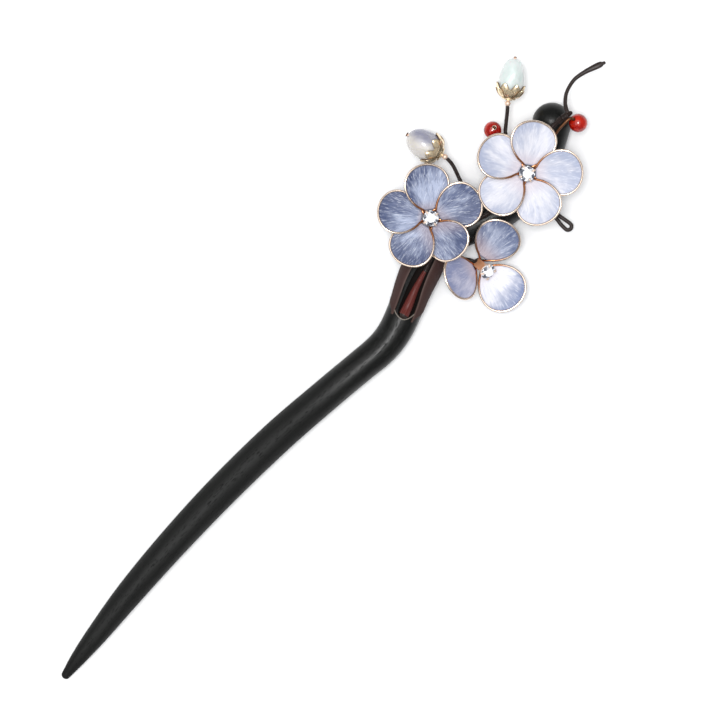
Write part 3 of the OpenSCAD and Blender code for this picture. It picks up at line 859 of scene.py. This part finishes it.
def carve(mesh, tool_shape):
    """The mesh with the tool's shape cut out of it."""
    body = bpy.data.objects.new("carve_body", mesh)
    tool_mesh = mesh_of("carve_tool", tool_shape, [], 40)
    tool = bpy.data.objects.new("carve_tool", tool_mesh)
    for obj in (body, tool):
        bpy.context.scene.collection.objects.link(obj)
    cut = body.modifiers.new("cut", "BOOLEAN")
    cut.operation = "DIFFERENCE"
    cut.solver = "EXACT"
    cut.object = tool
    result = bpy.data.meshes.new_from_object(body.evaluated_get(bpy.context.evaluated_depsgraph_get()))
    for obj in (body, tool):
        bpy.data.objects.remove(obj)
    bpy.data.meshes.remove(tool_mesh)
    return result


def mark_grain(mesh, path):
    """Stores each point's place along and across the wood for the grain, and how deep in the groove it is."""
    heading, across = wood_frames(path)
    s = lengths(path)
    grain = np.zeros((len(mesh.vertices), 3))
    pit = np.zeros(len(mesh.vertices))
    for i, v in enumerate(mesh.vertices):
        p = np.array(v.co) / MM
        k = int(np.argmin(((path[:, :2] - p[:2]) ** 2).sum(1)))
        d = p - path[k, :3]
        grain[i] = (s[k] + d @ heading[k], d @ across[k], d[2])
        pit[i] = min(1.0, max(0.0, (path[k, 3] - math.hypot(grain[i, 1], grain[i, 2]) - 0.06) / 0.3))
    pit[(grain[:, 0] < CHANNEL_ZONE[0]) | (grain[:, 0] > CHANNEL_ZONE[1])] = 0
    grain_mark = mesh.attributes.new("grain", "FLOAT_VECTOR", "POINT")
    grain_mark.data.foreach_set("vector", grain.astype(np.float32).ravel())
    mesh.attributes.new("pit", "FLOAT", "POINT").data.foreach_set("value", pit.astype(np.float32))


def build_wood():
    path = wood_path()
    mesh = mesh_of("ebony_pin", wood_shape(path), [finish_of("ebony", ebony)], 50)
    tool = Shape()
    tool.tube(spline(GROOVE_ROUTE), sizes().groove_r, sides=40)
    mesh = carve(mesh, tool)
    mesh.name = "ebony_pin"
    mesh.set_sharp_from_angle(angle=math.radians(32))
    mark_grain(mesh, path)
    return place_piece("ebony_pin", mesh, ["wood_pin"])


def flank(shape, side, route):
    """One side of the neck wrap: a thin skin on the wood, with rounded edges and a notched lower end."""
    thick, play, rows, steps = 0.3, 0.05, 40, 16
    rings, edges = [], []
    for i in range(rows + 1):
        share = i / rows
        u = WRAP_START + WRAP_SPANS * share
        q, ahead = at_span(route, u), at_span(route, u + 0.05)
        d = ahead[:2] - q[:2]
        d = d / np.linalg.norm(d)
        s = side * np.array([d[1], -d[0], 0.0])
        centre = np.array([q[0], q[1], q[2]])
        notch = 42 + 36 * smooth_step((share - 0.02) / 0.14) - 3 * math.sin(share * 9)
        inner_edge = 34 - 13 * share + 2 * math.sin(share * 6 + side)
        arc = np.linspace(inner_edge, notch, steps)
        belly = np.sqrt(np.clip(1 - np.linspace(-1, 1, steps) ** 8, 0.02, 1))
        end = math.sqrt(max(0.05, 1 - abs(2 * share - 1) ** 24))
        lift = thick * belly * end
        a = np.radians(arc)[:, None]
        ray = np.sin(a) * s + np.cos(a) * UP
        outer = centre + (q[2] + play + lift)[:, None] * ray
        inner = centre + (q[2] + play * 0.2) * ray
        ring = np.vstack([outer, inner[::-1]])
        rings.append(ring if side > 0 else ring[::-1])
        # The edge mark is 1 along both rims and at the lower end, where the wrap finish paints its highlight.
        rim = np.clip(1 - np.minimum(arc - arc[0], arc[-1] - arc) / 4, 0, 1)
        low = np.clip(1 - share * rows / 1.6, 0, 1)
        mark = np.clip(np.maximum(rim, low), 0, 1)
        mark = np.concatenate([mark, mark[::-1]])
        edges.append(mark if side > 0 else mark[::-1])
    shape.skin(rings, edge=np.array(edges))


def at_span(route, u):
    """Point of a smooth curve at a place counted in spans, away from its two ends."""
    i = int(u)
    a, b, c, d = np.array(route[i - 1:i + 3], float)
    return between_points(a, b, c, d, u - i)


def smooth_step(x):
    x = min(1.0, max(0.0, x))
    return x * x * (3 - 2 * x)


def lip_path():
    """Line of the channel's lower lip, on the surface of the wood."""
    outline = spline([
        (120.6, -2.2), (119.2, -2.7), (118.2, -3.6), (117.7, -5.1), (118, -6.6), (119.4, -7.4), (121.1, -7.7),
    ])
    wood = wood_path()
    points = []
    for x, y in outline:
        k = int(np.argmin(((wood[:, :2] - (x, y)) ** 2).sum(1)))
        heading = wood[min(k + 1, len(wood) - 1), :2] - wood[k - 1, :2]
        heading /= np.linalg.norm(heading)
        off = abs((x - wood[k, 0]) * heading[1] - (y - wood[k, 1]) * heading[0])
        r = wood[k, 3]
        points.append((x, y, r + math.sqrt(max(0.0, r * r - off * off)) + 0.02))
    return np.array(points)


def build_wrap():
    shape = Shape()
    for side in (-1, 1):
        flank(shape, side, PIN_ROUTE)
    # A thin pale tube along the channel's lower lip, a painted highlight.
    shape.tube(lip_path(), 0.13, sides=10, finish=1)
    made = [finish_of("brown_wrap", wrap), finish_of("lip", lip_highlight)]
    return piece("neck_wrap", shape, made, ["neck_sleeve"], angle=50, slack=2.2)


def build_bundle():
    """The stem ends under their red thread, with the cut ends of the wires at the foot."""
    line = np.column_stack([BUNDLE_ROUTE, BUNDLE_R])
    fine = spline(line, 10)
    path, radius = fine[:, :3], fine[:, 3]
    shape = Shape()
    shape.tube(path, radius - 0.16, sides=24, finish=1, spin=0.0)
    wind(shape, path, radius, 0.34, 0, thread_r=0.2, steps=20, sides=8)
    heading, across, up = frames(path)
    for k in range(6):
        a = k * math.pi / 3
        spot = path[0] + 0.58 * (math.cos(a) * across[0] + math.sin(a) * up[0])
        shape.tube([spot - heading[0] * 0.3, spot + heading[0] * 0.6], 0.27, sides=12, finish=2, reach=0.2)
    makers = {"red_thread": red_thread, "dark_thread": dark_thread, "copper": copper}
    made = [finish_of(name, maker) for name, maker in makers.items()]
    return piece("bound_ends", shape, made, ["bound_stem_ends"])


def wound_stem(name, route, d, node, extra=None):
    """A stem bound with dark thread along its whole length."""
    path = spline(route, 10)
    shape = Shape()
    shape.tube(path, d / 2 - 0.12, sides=16, finish=0, spin=0.0)
    wind(shape, path, d / 2, sizes().thread_d * 1.05, 0, thread_r=sizes().thread_d * 0.56, steps=14)
    if extra:
        extra(shape)
    return piece(name, shape, [finish_of("dark_thread", dark_thread)], [node])


def cross_ties(shape):
    """Short cross wraps that hold the stem where it lies along the knob."""
    path = evenly(spline(TRUNK_ROUTE, 12), 0.1)
    for start in (0.86, 0.93):
        a = int(len(path) * start)
        wind(shape, path[a:a + 12], sizes().trunk_d / 2 + 0.22, 0.36, 0, thread_r=0.19)


def build_tie():
    """Turns of thread that tie the stem ends together beside the knob."""
    shape = Shape()
    turn = turned(-16, 90, 0)
    ahead = np.array(turn @ Vector((0, 0, 1)))
    path = np.array([np.array(TIE_AT) + ahead * t for t in np.linspace(-0.1, 1.3, 12)])
    wind(shape, path, sizes().trunk_d / 2 + 0.36, 0.38, 0, thread_r=0.2, steps=24, sides=8)
    return piece("knob_tie", shape, [finish_of("dark_thread", dark_thread)], ["junction_wrap"])


def build_tendril():
    line = np.column_stack([TENDRIL_ROUTE, TENDRIL_W])
    fine = spline(line, 14)
    path, width = fine[:, :3], fine[:, 3]
    thick = np.minimum(1, 1.25 / width) / 2
    close = np.clip((lengths(path)[-1] - lengths(path)) / 0.8, 0.5, 1) ** 0.5
    shape = Shape()
    shape.tube(path, width / 2 * close, thick * 0.92 * close, sides=20, spin=lengths(path) * 9)
    crease = spline([tuple(p + UP * t * 0.98) for p, t in zip(path[-44:-4:6], (thick * close)[-44:-4:6])], 6)
    shape.tube(crease, 0.07, sides=6, spin=0.0)
    return piece("tendril_leaf", shape, [finish_of("dark_thread", dark_thread)], ["tendril"])


def build_loop():
    """Doubled wire with a narrow eye, wound at its neck."""
    middle = np.array(LOOP_ROUTE, float)
    spread = np.array(LOOP_SPREAD)
    side = np.array([1.0, 0.0, 0.0])
    out = middle + spread[:, None] * side
    back = (middle - spread[:, None] * side)[::-1]
    rays = [np.array([math.cos(a), -math.sin(a), 0]) for a in np.radians([45, 90, 135])]
    turn = [middle[-1] + spread[-1] * ray for ray in rays]
    shape = Shape()
    path = spline(np.vstack([out, turn, back]), 8)
    shape.tube(path, 0.48, sides=16, spin=lengths(path) * 6)
    neck = spline(middle[:5], 10)
    wind(shape, neck[30:41], 1.02, 0.34, 0, thread_r=0.18, steps=24)
    return piece("tassel_eye", shape, [finish_of("dark_thread", dark_thread)], ["tassel_loop"])


# ---------------------------------------------------------------- flowers

PETAL_FOOT = 1.7
RIM_START = 26.0


def rim_height(x, y, long, wide):
    return sizes().petal_cup * (0.6 * (np.maximum(x, 0) / long) ** 2 + 0.4 * (2 * y / wide) ** 2)


def rim_at(t, long, wide):
    """Rim of a petal in its own frame at angles t from its foot, in degrees."""
    t = np.radians(t)
    x = PETAL_FOOT + (long - PETAL_FOOT) / 2 * (1 - np.cos(t))
    y = wide / 2 * np.sin(t) * np.sin(t / 2) ** 0.35 * 1.12
    return np.stack([x, y, rim_height(x, y, long, wide)], axis=-1)


def petal_sizes(petal):
    return sizes().petal_len * petal[3], sizes().petal_wid * petal[4]


def rim_wire(petal, turn):
    """One petal's wire: up from the flower's middle, round the rim and back."""
    long, wide = petal_sizes(petal)
    rim = rim_at(np.linspace(RIM_START, 360 - RIM_START, 110), long, wide)
    tail = np.array([(0.75, 0.16, -0.8), (1.25, 0.5, -0.42), (1.75, 1.0, -0.1)])
    back = (tail * (1, -1, 1))[::-1]
    path = evenly(spline(np.vstack([tail, rim[::4], back]), 6), 0.22)
    reach = np.linalg.norm(path[:, :2], axis=1) / long
    shape = Shape()
    wobble = 1 + 0.03 * np.sin(lengths(path) * 1.3 + turn)
    shape.tube(path, sizes().petal_wire_d / 2 * wobble, sides=14, reach=reach)
    return shape


def petal_film(petal, seed):
    """Film inside a petal's wire: thin, cupped, lightly rippled along its fibres, closed round its edge."""
    long, wide = petal_sizes(petal)
    rim = rim_at(np.linspace(19, 341, 120), long, wide)
    middle = np.array([long * 0.56, 0.0, 0.0])
    middle[2] = rim_height(middle[0], 0.0, long, wide)
    shares = np.array([0.0, 0.06, 0.14, 0.26, 0.4, 0.55, 0.7, 0.85, 0.96])
    gauge = sizes().petal_wire_d / 2 * 0.72

    def layer(sign):
        rows = []
        for share in shares:
            flat = rim * (1 - share) + middle * share
            x, y = flat[:, 0], flat[:, 1]
            base = rim_height(x, y, long, wide)
            fan = np.arctan2(y, x + 0.4)
            ripple = 0.035 * np.sin(fan * 16 + seed) * np.sin(math.pi * min(1.0, share * 1.6))
            sag = -0.16 * math.sin(math.pi / 2 * share)
            half = gauge * 0.45 + (sizes().film_t / 2 - gauge * 0.45) * share ** 0.6
            rows.append(np.stack([x, y, base + sag + sign * half + ripple], axis=-1))
        return rows

    front, back = layer(1), layer(-1)
    rings = front[::-1] + back
    edge = np.concatenate([shares[::-1], shares])
    shape = Shape()
    shape.skin(rings, edge=edge, seed=np.full(len(rings), float(seed)))
    return shape


def build_petals(letter):
    """The wires and films of one flower's petals."""
    flower = FLOWERS[letter]
    for i, petal in enumerate(flower["petals"], 1):
        place = seat(flower["at"], turned(petal[0], -petal[1], petal[2]))
        seed = i + 7 * "abc".index(letter)
        piece(
            f"flower_{letter}_rim_{i}", rim_wire(petal, seed), [finish_of("petal_gold", petal_gold)],
            [f"flower_{letter}_wire_{i}"], place, slack=2.4,
        )
        piece(
            f"flower_{letter}_film_{i}", petal_film(petal, seed),
            [finish_of(f"film_{letter}_{i}", film_maker)],
            [f"flower_{letter}_fill_{i}"], place, angle=60,
        )


def setting_place(flower):
    tilt, direction, _ = flower["setting"]
    return seat(flower["at"], turned(direction, tilt, 0))


def build_setting(letter):
    """Square cup with a gallery ring and four claws that grip the stone's girdle."""
    flower = FLOWERS[letter]
    lift = flower["setting"][2]
    stone_r = sizes().stone_d / 2
    shape = Shape()
    half, foot, top = 1.15, -0.34, 0.55 + lift
    levels = [
        (foot, 0.86), (foot + 0.05, 0.96), (foot + 0.14, 1.0), (top - 0.12, 1.0), (top - 0.03, 0.97),
        (top, 0.9),
    ]
    shape.skin([rounded_square(half * s, z) for z, s in levels], reach=np.array([0.3] * len(levels)))
    around = np.linspace(0, 2 * math.pi, 49)
    ring = [(stone_r * 0.86 * math.cos(a), stone_r * 0.86 * math.sin(a), top + 0.5) for a in around]
    shape.tube(ring, 0.13, sides=10, reach=0.8)
    for k in range(4):
        a = math.pi / 4 + k * math.pi / 2
        ray = np.array([math.cos(a), math.sin(a), 0.0])
        profile = [
            (1.3, -0.5), (1.52, -0.05), (1.8, 0.5), (stone_r + 0.13, 0.95), (stone_r + 0.14, 1.22),
            (stone_r - 0.12, 1.42), (stone_r - 0.42, 1.5),
        ]
        path = spline([ray * r + UP * (top + z - 0.02) for r, z in profile], 5)
        wide = np.interp(np.linspace(0, 1, len(path)), [0, 0.6, 1], [0.3, 0.24, 0.2])
        shape.tube(path, wide, wide * 0.72, sides=12, reach=0.75)
    made = [finish_of("setting_gold", setting_gold)]
    nodes = [f"flower_{letter}_setting"]
    return piece(f"flower_{letter}_claws", shape, made, nodes, setting_place(flower), slack=0.8)


def rounded_square(half, z, sides=40):
    """A ring in the shape of a square with round corners."""
    ring = []
    for k in range(sides):
        a = 2 * math.pi * k / sides
        c, s = math.cos(a), math.sin(a)
        r = half / (abs(c) ** 7 + abs(s) ** 7) ** (1 / 7)
        ring.append((r * c, r * s, z))
    return ring


def build_stone(letter):
    """Round cut stone: table, star and kite facets above the girdle, a foiled pavilion below."""
    flower = FLOWERS[letter]
    r = sizes().stone_d / 2
    base = 1.5 + flower["setting"][2]
    table = ring_points(8, r * 0.56, base + 0.56, 0)
    kite = ring_points(8, r * 0.82, base + 0.37, 0.5)
    upper = ring_points(16, r, base + 0.08, 0)
    lower = ring_points(16, r, base - 0.06, 0)
    deep = ring_points(8, r * 0.42, base - 0.66, 0.5)
    points = table + kite + upper + lower + deep + [(0, 0, base - 0.92)]
    t, k, u, w, d, culet = 0, 8, 16, 32, 48, 56
    faces, finish = [tuple(range(t, t + 8))], [0]
    for i in range(8):
        n = (i + 1) % 8
        g, gn = u + 2 * i, u + (2 * i + 2) % 16
        half = u + 2 * i + 1
        faces += [(t + n, t + i, k + i), (t + n, k + i, gn), (k + i, t + i, g)]
        faces += [(g, half, k + i), (half, gn, k + i)]
        lg, lgn, lhalf = w + 2 * i, w + (2 * i + 2) % 16, w + 2 * i + 1
        before = d + (i - 1) % 8
        faces += [(lhalf, lg, d + i), (lgn, lhalf, d + i), (lg, before, d + i), (before, culet, d + i)]
        finish += [0] * 5 + [1] * 4
    for i in range(16):
        faces.append((w + i, w + (i + 1) % 16, u + (i + 1) % 16, u + i))
        finish.append(0)
    shape = Shape()
    shape.add(points, faces)
    shape.finish = finish
    obj = piece(
        f"flower_{letter}_gem", shape, [finish_of("crystal", crystal), finish_of("foil", foil)],
        [f"flower_{letter}_stone"], setting_place(flower), angle=1,
    )
    obj.data.polygons.foreach_set("use_smooth", [False] * len(obj.data.polygons))
    return obj


def ring_points(count, r, z, turn):
    """Points round a circle, turned by a share of one step."""
    angles = [2 * math.pi * (i + turn) / count for i in range(count)]
    return [(r * math.cos(a), r * math.sin(a), z) for a in angles]


def build_flower_stem(letter):
    """A flower's stem with the cone of thread that gathers its petal wires."""
    flower = FLOWERS[letter]

    def cone(shape):
        turn = turned(flower["setting"][1], flower["setting"][0], 0).to_3x3()
        axis = np.array(turn @ Vector((0, 0, 1)))
        path = np.array([np.array(flower["at"]) + axis * z for z in np.linspace(-1.0, -0.4, 12)])
        radius = np.linspace(0.8, 1.45, 12)
        shape.tube(path, radius - 0.1, sides=24, spin=0.0)
        wind(shape, path, radius + 0.04, 0.2, 0, thread_r=0.13, steps=30)

    wound_stem(f"flower_{letter}_twig", flower["stem"], sizes().stem_d, f"flower_{letter}_stem", cone)


# ---------------------------------------------------------------- buds and beads

CAP_REACH = 3.5
BALL_D = 1.4
BEAD_FOOT = BALL_D / 2 + 0.58


def drop_size(i):
    """Nominal diameter and length of a bud's bead. The outline of drop_r comes out about 6% thinner."""
    return (sizes().drop_d_1, sizes().drop_len_1) if i == 1 else (sizes().drop_d_2, sizes().drop_len_2)


def drop_r(i, h):
    """Radius of a bud's bead at a height above its foot."""
    wide, long = drop_size(i)
    a = math.acos(min(1.0, max(-1.0, 1 - 2 * h / long)))
    return wide / 2 * math.sin(a) ** 0.85 * (1 - 0.06 * (1 - math.cos(a)))


def bud_place(bud):
    return seat(bud["at"], turned(bud["turn"], 90 - bud["rise"], 0))


def build_drop(i, maker, slot, uneven):
    """Drilled drop bead. The carved one is uneven, with soft flats."""
    bore = sizes().bead_wire_d / 2 + 0.05
    long = drop_size(i)[1]
    heights = long / 2 * (1 - np.cos(np.radians(np.linspace(9, 171, 56))))
    angle = np.arange(72) * 2 * math.pi / 72
    rings = [circle(bore, angle, 0.25)]
    for h in heights:
        r = drop_r(i, h)
        flats = np.sin(2 * angle + h * 0.5) * 0.6 + np.sin(3 * angle - h * 0.9) * 0.5
        flats += np.sin(5 * angle + h) * 0.25
        around = r - uneven * (1 - h / long * 0.2) * (0.5 + 0.5 * flats) * np.sin(math.pi * h / long)
        rings.append(circle(around, angle, h))
    rings.append(circle(bore, angle, long - 0.2))
    rings.append(rings[0])
    shape = Shape()
    shape.skin([r + UP * BEAD_FOOT for r in rings], lids=False)
    made = [finish_of(slot, maker)]
    return piece(f"bud_{i}_drop", shape, made, [f"bud_{i}_bead"], bud_place(BUDS[i]), angle=50)


def cap_leaf(shape, bud, middle, half, reach, gap, flare, wall=0.22):
    """One pointed petal of a cap, clasping the bead, with a raised rib and a tip that curls out."""
    rows, cols = 16, 9
    outer, inner, hollow = [], [], []
    for j in range(rows + 1):
        v = j / rows
        h = reach * (0.02 + 0.98 * v ** 1.35)
        width = half * (1 - v ** 3.2) ** 0.75 * (1 - 0.1 * math.cos(v * math.pi)) + 0.004
        s = np.linspace(-1, 1, cols)
        a = middle + width * s
        curl = flare * v ** 4
        rib = 0.16 * (1 - np.abs(s)) ** 1.5 * (0.4 + v) + 0.1 * np.abs(s) ** 4
        base = drop_r(bud, h) + gap + 0.3 * (1 - v)
        around = base + curl + rib
        lie = base + curl - 0.02
        outer.append(circle(around + wall, a, h))
        inner.append(circle(lie, a, h))
        # Painted shade: darker towards each petal's sides and foot, and dark all over its inner face.
        shade = np.clip(np.abs(s) ** 3 * 0.6 + (1 - v) * 0.25, 0, 1)
        hollow.append(np.concatenate([shade, np.ones(cols)]))
    rings = [np.vstack([o, n[::-1]]) + UP * BEAD_FOOT for o, n in zip(outer, inner)]
    shape.skin(rings, hollow=np.array(hollow))


def build_cap(i):
    """Lotus cap in two tiers of pointed petals on a small collar."""
    count = sizes().cap_petals
    step = 2 * math.pi / count
    shape = Shape()
    for k in range(count):
        cap_leaf(shape, i, k * step, step * 0.5, CAP_REACH, 0.06, 0.06)
    for k in range(count):
        cap_leaf(shape, i, (k + 0.5) * step, step * 0.42, CAP_REACH * 0.62, 0.36, 0.12, 0.2)
    bore = sizes().bead_wire_d / 2 + 0.05
    profile = [
        (bore, -0.12), (1.5, 0.06), (1.75, -0.02), (1.7, -0.22), (1.35, -0.34), (1.0, -0.36), (0.92, -0.42),
        (0.95, -0.5), (0.6, -0.52), (bore, -0.5),
    ]
    angle = np.arange(48) * 2 * math.pi / 48
    rings = [circle(r, angle, z + BEAD_FOOT) for r, z in profile]
    # A little painted shade on the collar.
    shape.skin(rings + [rings[0]], lids=False, hollow=0.2 * np.ones(len(profile) + 1))
    made = [finish_of("cap_gold", cap_gold)]
    return piece(f"bud_{i}_lotus", shape, made, [f"bud_{i}_cap"], bud_place(BUDS[i]), angle=35)


def ball(shape, at, d, squash=1.0, sides=32, finish=0, **marks):
    """A round or flattened ball."""
    angle = np.arange(sides) * 2 * math.pi / sides
    rings = []
    for b in np.radians(np.linspace(-88, 88, sides // 2)):
        r = d / 2 * math.cos(b)
        z = d / 2 * math.sin(b) * squash
        rings.append(np.array(at) + circle(r, angle, z))
    shape.skin(rings, finish, **{k: np.full(len(rings), float(v)) for k, v in marks.items()})


def build_headpin(i):
    """Wire through the bead, with a ball at its foot and a flat head at the far end."""
    reach = BEAD_FOOT + drop_size(i)[1]
    shape = Shape()
    ball(shape, (0, 0, 0), BALL_D, reach=0.7)
    shape.tube([(0, 0, 0), (0, 0, reach + 0.2)], sizes().bead_wire_d / 2, sides=16, reach=0.6)
    head = 1.2 if i == 1 else 0.8
    ball(shape, (0, 0, reach + 0.32), head, 0.36 / head, reach=0.1, finish=1)
    return piece(
        f"bud_{i}_pin", shape, [finish_of("setting_gold", setting_gold), finish_of("copper", copper)],
        [f"bud_{i}_headpin"], bud_place(BUDS[i]),
    )


def build_red_bead(i):
    """Drilled round bead and the wire that it turns on."""
    bead = RED_BEADS[i]
    d, wire_r = bead["d"], sizes().bead_wire_d / 2
    place = seat(bead["at"], along_axis(bead["axis"]))
    bore = wire_r + 0.05
    angle = np.arange(64) * 2 * math.pi / 64
    start = math.degrees(math.acos((bore + 0.12) / (d / 2)))
    rings = []
    for b in np.radians(np.linspace(-start, start, 44)):
        r = d / 2 * math.cos(b)
        rings.append(circle(r, angle, d / 2 * math.sin(b)))
    inner = d / 2 * 0.93
    for z in (inner, -inner):
        rings.append(circle(bore, angle, z))
    rings.append(rings[0])
    shape = Shape()
    shape.skin(rings, lids=False)
    piece(f"berry_{i}", shape, [finish_of("carnelian", carnelian)], [f"red_bead_{i}"], place)
    pin = Shape()
    turn = along_axis(bead["axis"]).to_3x3()
    axis = np.array(turn @ Vector((0, 0, 1)))
    middle = np.array(bead["at"], float)
    rod = [middle - axis * (d / 2 + 0.3), middle + axis * (d / 2 + 0.2)]
    pin.tube(rod, wire_r, sides=16)
    head = middle + axis * (d / 2 + 0.23)
    pin.tube([head - axis * 0.05, head + axis * 0.02], 0.28, sides=20)
    across = np.array(turn @ Vector((1, 0, 0)))
    beside = np.cross(axis, across)
    around = np.linspace(0, 2 * math.pi, 41)
    eye = [head - axis * 0.06 + 0.48 * (math.cos(a) * across + math.sin(a) * beside) for a in around]
    pin.tube(eye, 0.11, sides=10, finish=1, reach=0.8)
    tail = spline(bead["tail"], 10)
    pin.tube(tail, wire_r, sides=14)
    piece(
        f"berry_{i}_wire", pin, [finish_of("copper", copper), finish_of("petal_gold", petal_gold)],
        [f"red_bead_{i}_wire"], slack=0.9,
    )


# ---------------------------------------------------------------- stage


def area_light(name, at, aim, wide, power):
    """A square softbox at a place in metres, aimed at a point."""
    lamp = bpy.data.lights.new(name, "AREA")
    lamp.shape = "RECTANGLE"
    lamp.size, lamp.size_y, lamp.energy = wide, wide, power
    obj = bpy.data.objects.new(name, lamp)
    obj.location = at
    obj.rotation_euler = (Vector(aim) - Vector(at)).to_track_quat("-Z", "Y").to_euler()
    bpy.context.scene.collection.objects.link(obj)


def build_stage():
    scene = bpy.context.scene
    low, high = CAD_BOX
    centre = (low + high) / 2
    mesh = bpy.data.meshes.new("paper")
    half = 2.5
    corners = [(x * half, y * half, -0.0001) for x, y in ((-1, -1), (1, -1), (1, 1), (-1, 1))]
    mesh.from_pydata(corners, [], [(0, 1, 2, 3)])
    mesh.materials.append(floor_paper("floor_paper"))
    floor = bpy.data.objects.new("paper", mesh)
    scene.collection.objects.link(floor)
    world = bpy.data.worlds.new("studio")
    world.use_nodes = True
    world.node_tree.nodes["Background"].inputs["Color"].default_value = (0.93, 0.96, 1.0, 1)
    world.node_tree.nodes["Background"].inputs["Strength"].default_value = 0.3
    scene.world = world
    aim = (centre.x, centre.y, 0.005)
    area_light("softbox_top", (centre.x - 0.1, centre.y + 0.2, 1.6), aim, 2.0, 23)
    area_light("softbox_key", (centre.x - 0.04, centre.y + 0.06, 1.5), aim, 0.36, 13)
    scene.view_settings.view_transform = "Standard"

    lens, sensor, span, plane = 250.0, 36.0, 172.8, 8.0
    camera = bpy.data.cameras.new("camera")
    camera.lens, camera.sensor_width = lens, sensor
    camera.clip_start, camera.clip_end = 0.05, 20.0
    obj = bpy.data.objects.new("camera", camera)
    obj.location = (0.0062, -0.0031, (plane + span / sensor * lens) * MM)
    obj.rotation_euler = (0, 0, math.radians(-49.7))
    scene.collection.objects.link(obj)
    scene.camera = obj


# ---------------------------------------------------------------- operators


class HAIRPIN_OT_stage(bpy.types.Operator):
    """Lays the floor and sets the lights and the camera"""

    bl_idname = "hairpin.stage"
    bl_label = "Stage"

    def execute(self, context):
        build_stage()
        return {"FINISHED"}


class HAIRPIN_OT_wood(bpy.types.Operator):
    """Carves the ebony pin with the channel in its neck"""

    bl_idname = "hairpin.wood"
    bl_label = "Ebony Pin"

    def execute(self, context):
        build_wood()
        return {"FINISHED"}


class HAIRPIN_OT_neck(bpy.types.Operator):
    """Wraps the neck and binds the stem ends in its channel"""

    bl_idname = "hairpin.neck"
    bl_label = "Neck Wrap and Bound Ends"

    def execute(self, context):
        build_wrap()
        build_bundle()
        return {"FINISHED"}


class HAIRPIN_OT_stems(bpy.types.Operator):
    """Winds the main stem, the flower stems and the bud stems"""

    bl_idname = "hairpin.stems"
    bl_label = "Wound Stems"

    def execute(self, context):
        wound_stem("trunk", TRUNK_ROUTE, sizes().trunk_d, "main_stem", cross_ties)
        for letter in FLOWERS:
            build_flower_stem(letter)
        for i, bud in BUDS.items():
            wound_stem(f"bud_{i}_twig", bud["stem"], sizes().stem_d, f"bud_{i}_stem")
        build_tie()
        return {"FINISHED"}


class HAIRPIN_OT_ends(bpy.types.Operator):
    """Bends the tendril and the tassel loop"""

    bl_idname = "hairpin.ends"
    bl_label = "Tendril and Tassel Loop"

    def execute(self, context):
        build_tendril()
        build_loop()
        return {"FINISHED"}


class HAIRPIN_OT_petals(bpy.types.Operator):
    """Bends the petal wires and fills them with film"""

    bl_idname = "hairpin.petals"
    bl_label = "Petals"

    def execute(self, context):
        for letter in FLOWERS:
            build_petals(letter)
        return {"FINISHED"}


class HAIRPIN_OT_stones(bpy.types.Operator):
    """Sets a cut stone in claws at the middle of each flower"""

    bl_idname = "hairpin.stones"
    bl_label = "Stones and Settings"

    def execute(self, context):
        for letter in FLOWERS:
            build_setting(letter)
            build_stone(letter)
        return {"FINISHED"}


class HAIRPIN_OT_buds(bpy.types.Operator):
    """Threads the drop beads and their lotus caps on their pins"""

    bl_idname = "hairpin.buds"
    bl_label = "Buds"

    def execute(self, context):
        build_drop(1, chalcedony, "grey_chalcedony", 0.05)
        build_drop(2, jade, "pale_green_jade", 0.28)
        for i in BUDS:
            build_cap(i)
            build_headpin(i)
        return {"FINISHED"}


class HAIRPIN_OT_berries(bpy.types.Operator):
    """Threads the red beads on their wires"""

    bl_idname = "hairpin.berries"
    bl_label = "Red Beads"

    def execute(self, context):
        for i in RED_BEADS:
            build_red_bead(i)
        return {"FINISHED"}


OPERATORS = [
    HAIRPIN_OT_stage, HAIRPIN_OT_wood, HAIRPIN_OT_neck, HAIRPIN_OT_stems, HAIRPIN_OT_ends, HAIRPIN_OT_petals,
    HAIRPIN_OT_stones, HAIRPIN_OT_buds, HAIRPIN_OT_berries,
]


class HAIRPIN_PT_panel(bpy.types.Panel):
    """Sizes, colours and pieces of the hair pin"""

    bl_label = "Hair Pin"
    bl_idname = "HAIRPIN_PT_panel"
    bl_space_type = "VIEW_3D"
    bl_region_type = "UI"
    bl_category = "Hair Pin"

    def draw(self, context):
        for group in (context.scene.hair_pin_sizes, context.scene.hair_pin_colours):
            box = self.layout.box()
            for key in group.__annotations__:
                box.prop(group, key)
        for operator in OPERATORS:
            self.layout.operator(operator.bl_idname)


CLASSES = [HairPinSizes, HairPinColours, *OPERATORS, HAIRPIN_PT_panel]


def register():
    for cls in CLASSES:
        bpy.utils.register_class(cls)
    bpy.types.Scene.hair_pin_sizes = PointerProperty(type=HairPinSizes)
    bpy.types.Scene.hair_pin_colours = PointerProperty(type=HairPinColours)


def unregister():
    del bpy.types.Scene.hair_pin_colours
    del bpy.types.Scene.hair_pin_sizes
    for cls in reversed(CLASSES):
        bpy.utils.unregister_class(cls)


def main():
    register()
    bpy.ops.hairpin.stage()
    bpy.ops.hairpin.wood()
    bpy.ops.hairpin.neck()
    bpy.ops.hairpin.stems()
    bpy.ops.hairpin.ends()
    bpy.ops.hairpin.petals()
    bpy.ops.hairpin.stones()
    bpy.ops.hairpin.buds()
    bpy.ops.hairpin.berries()


if __name__ == "__main__":
    main()
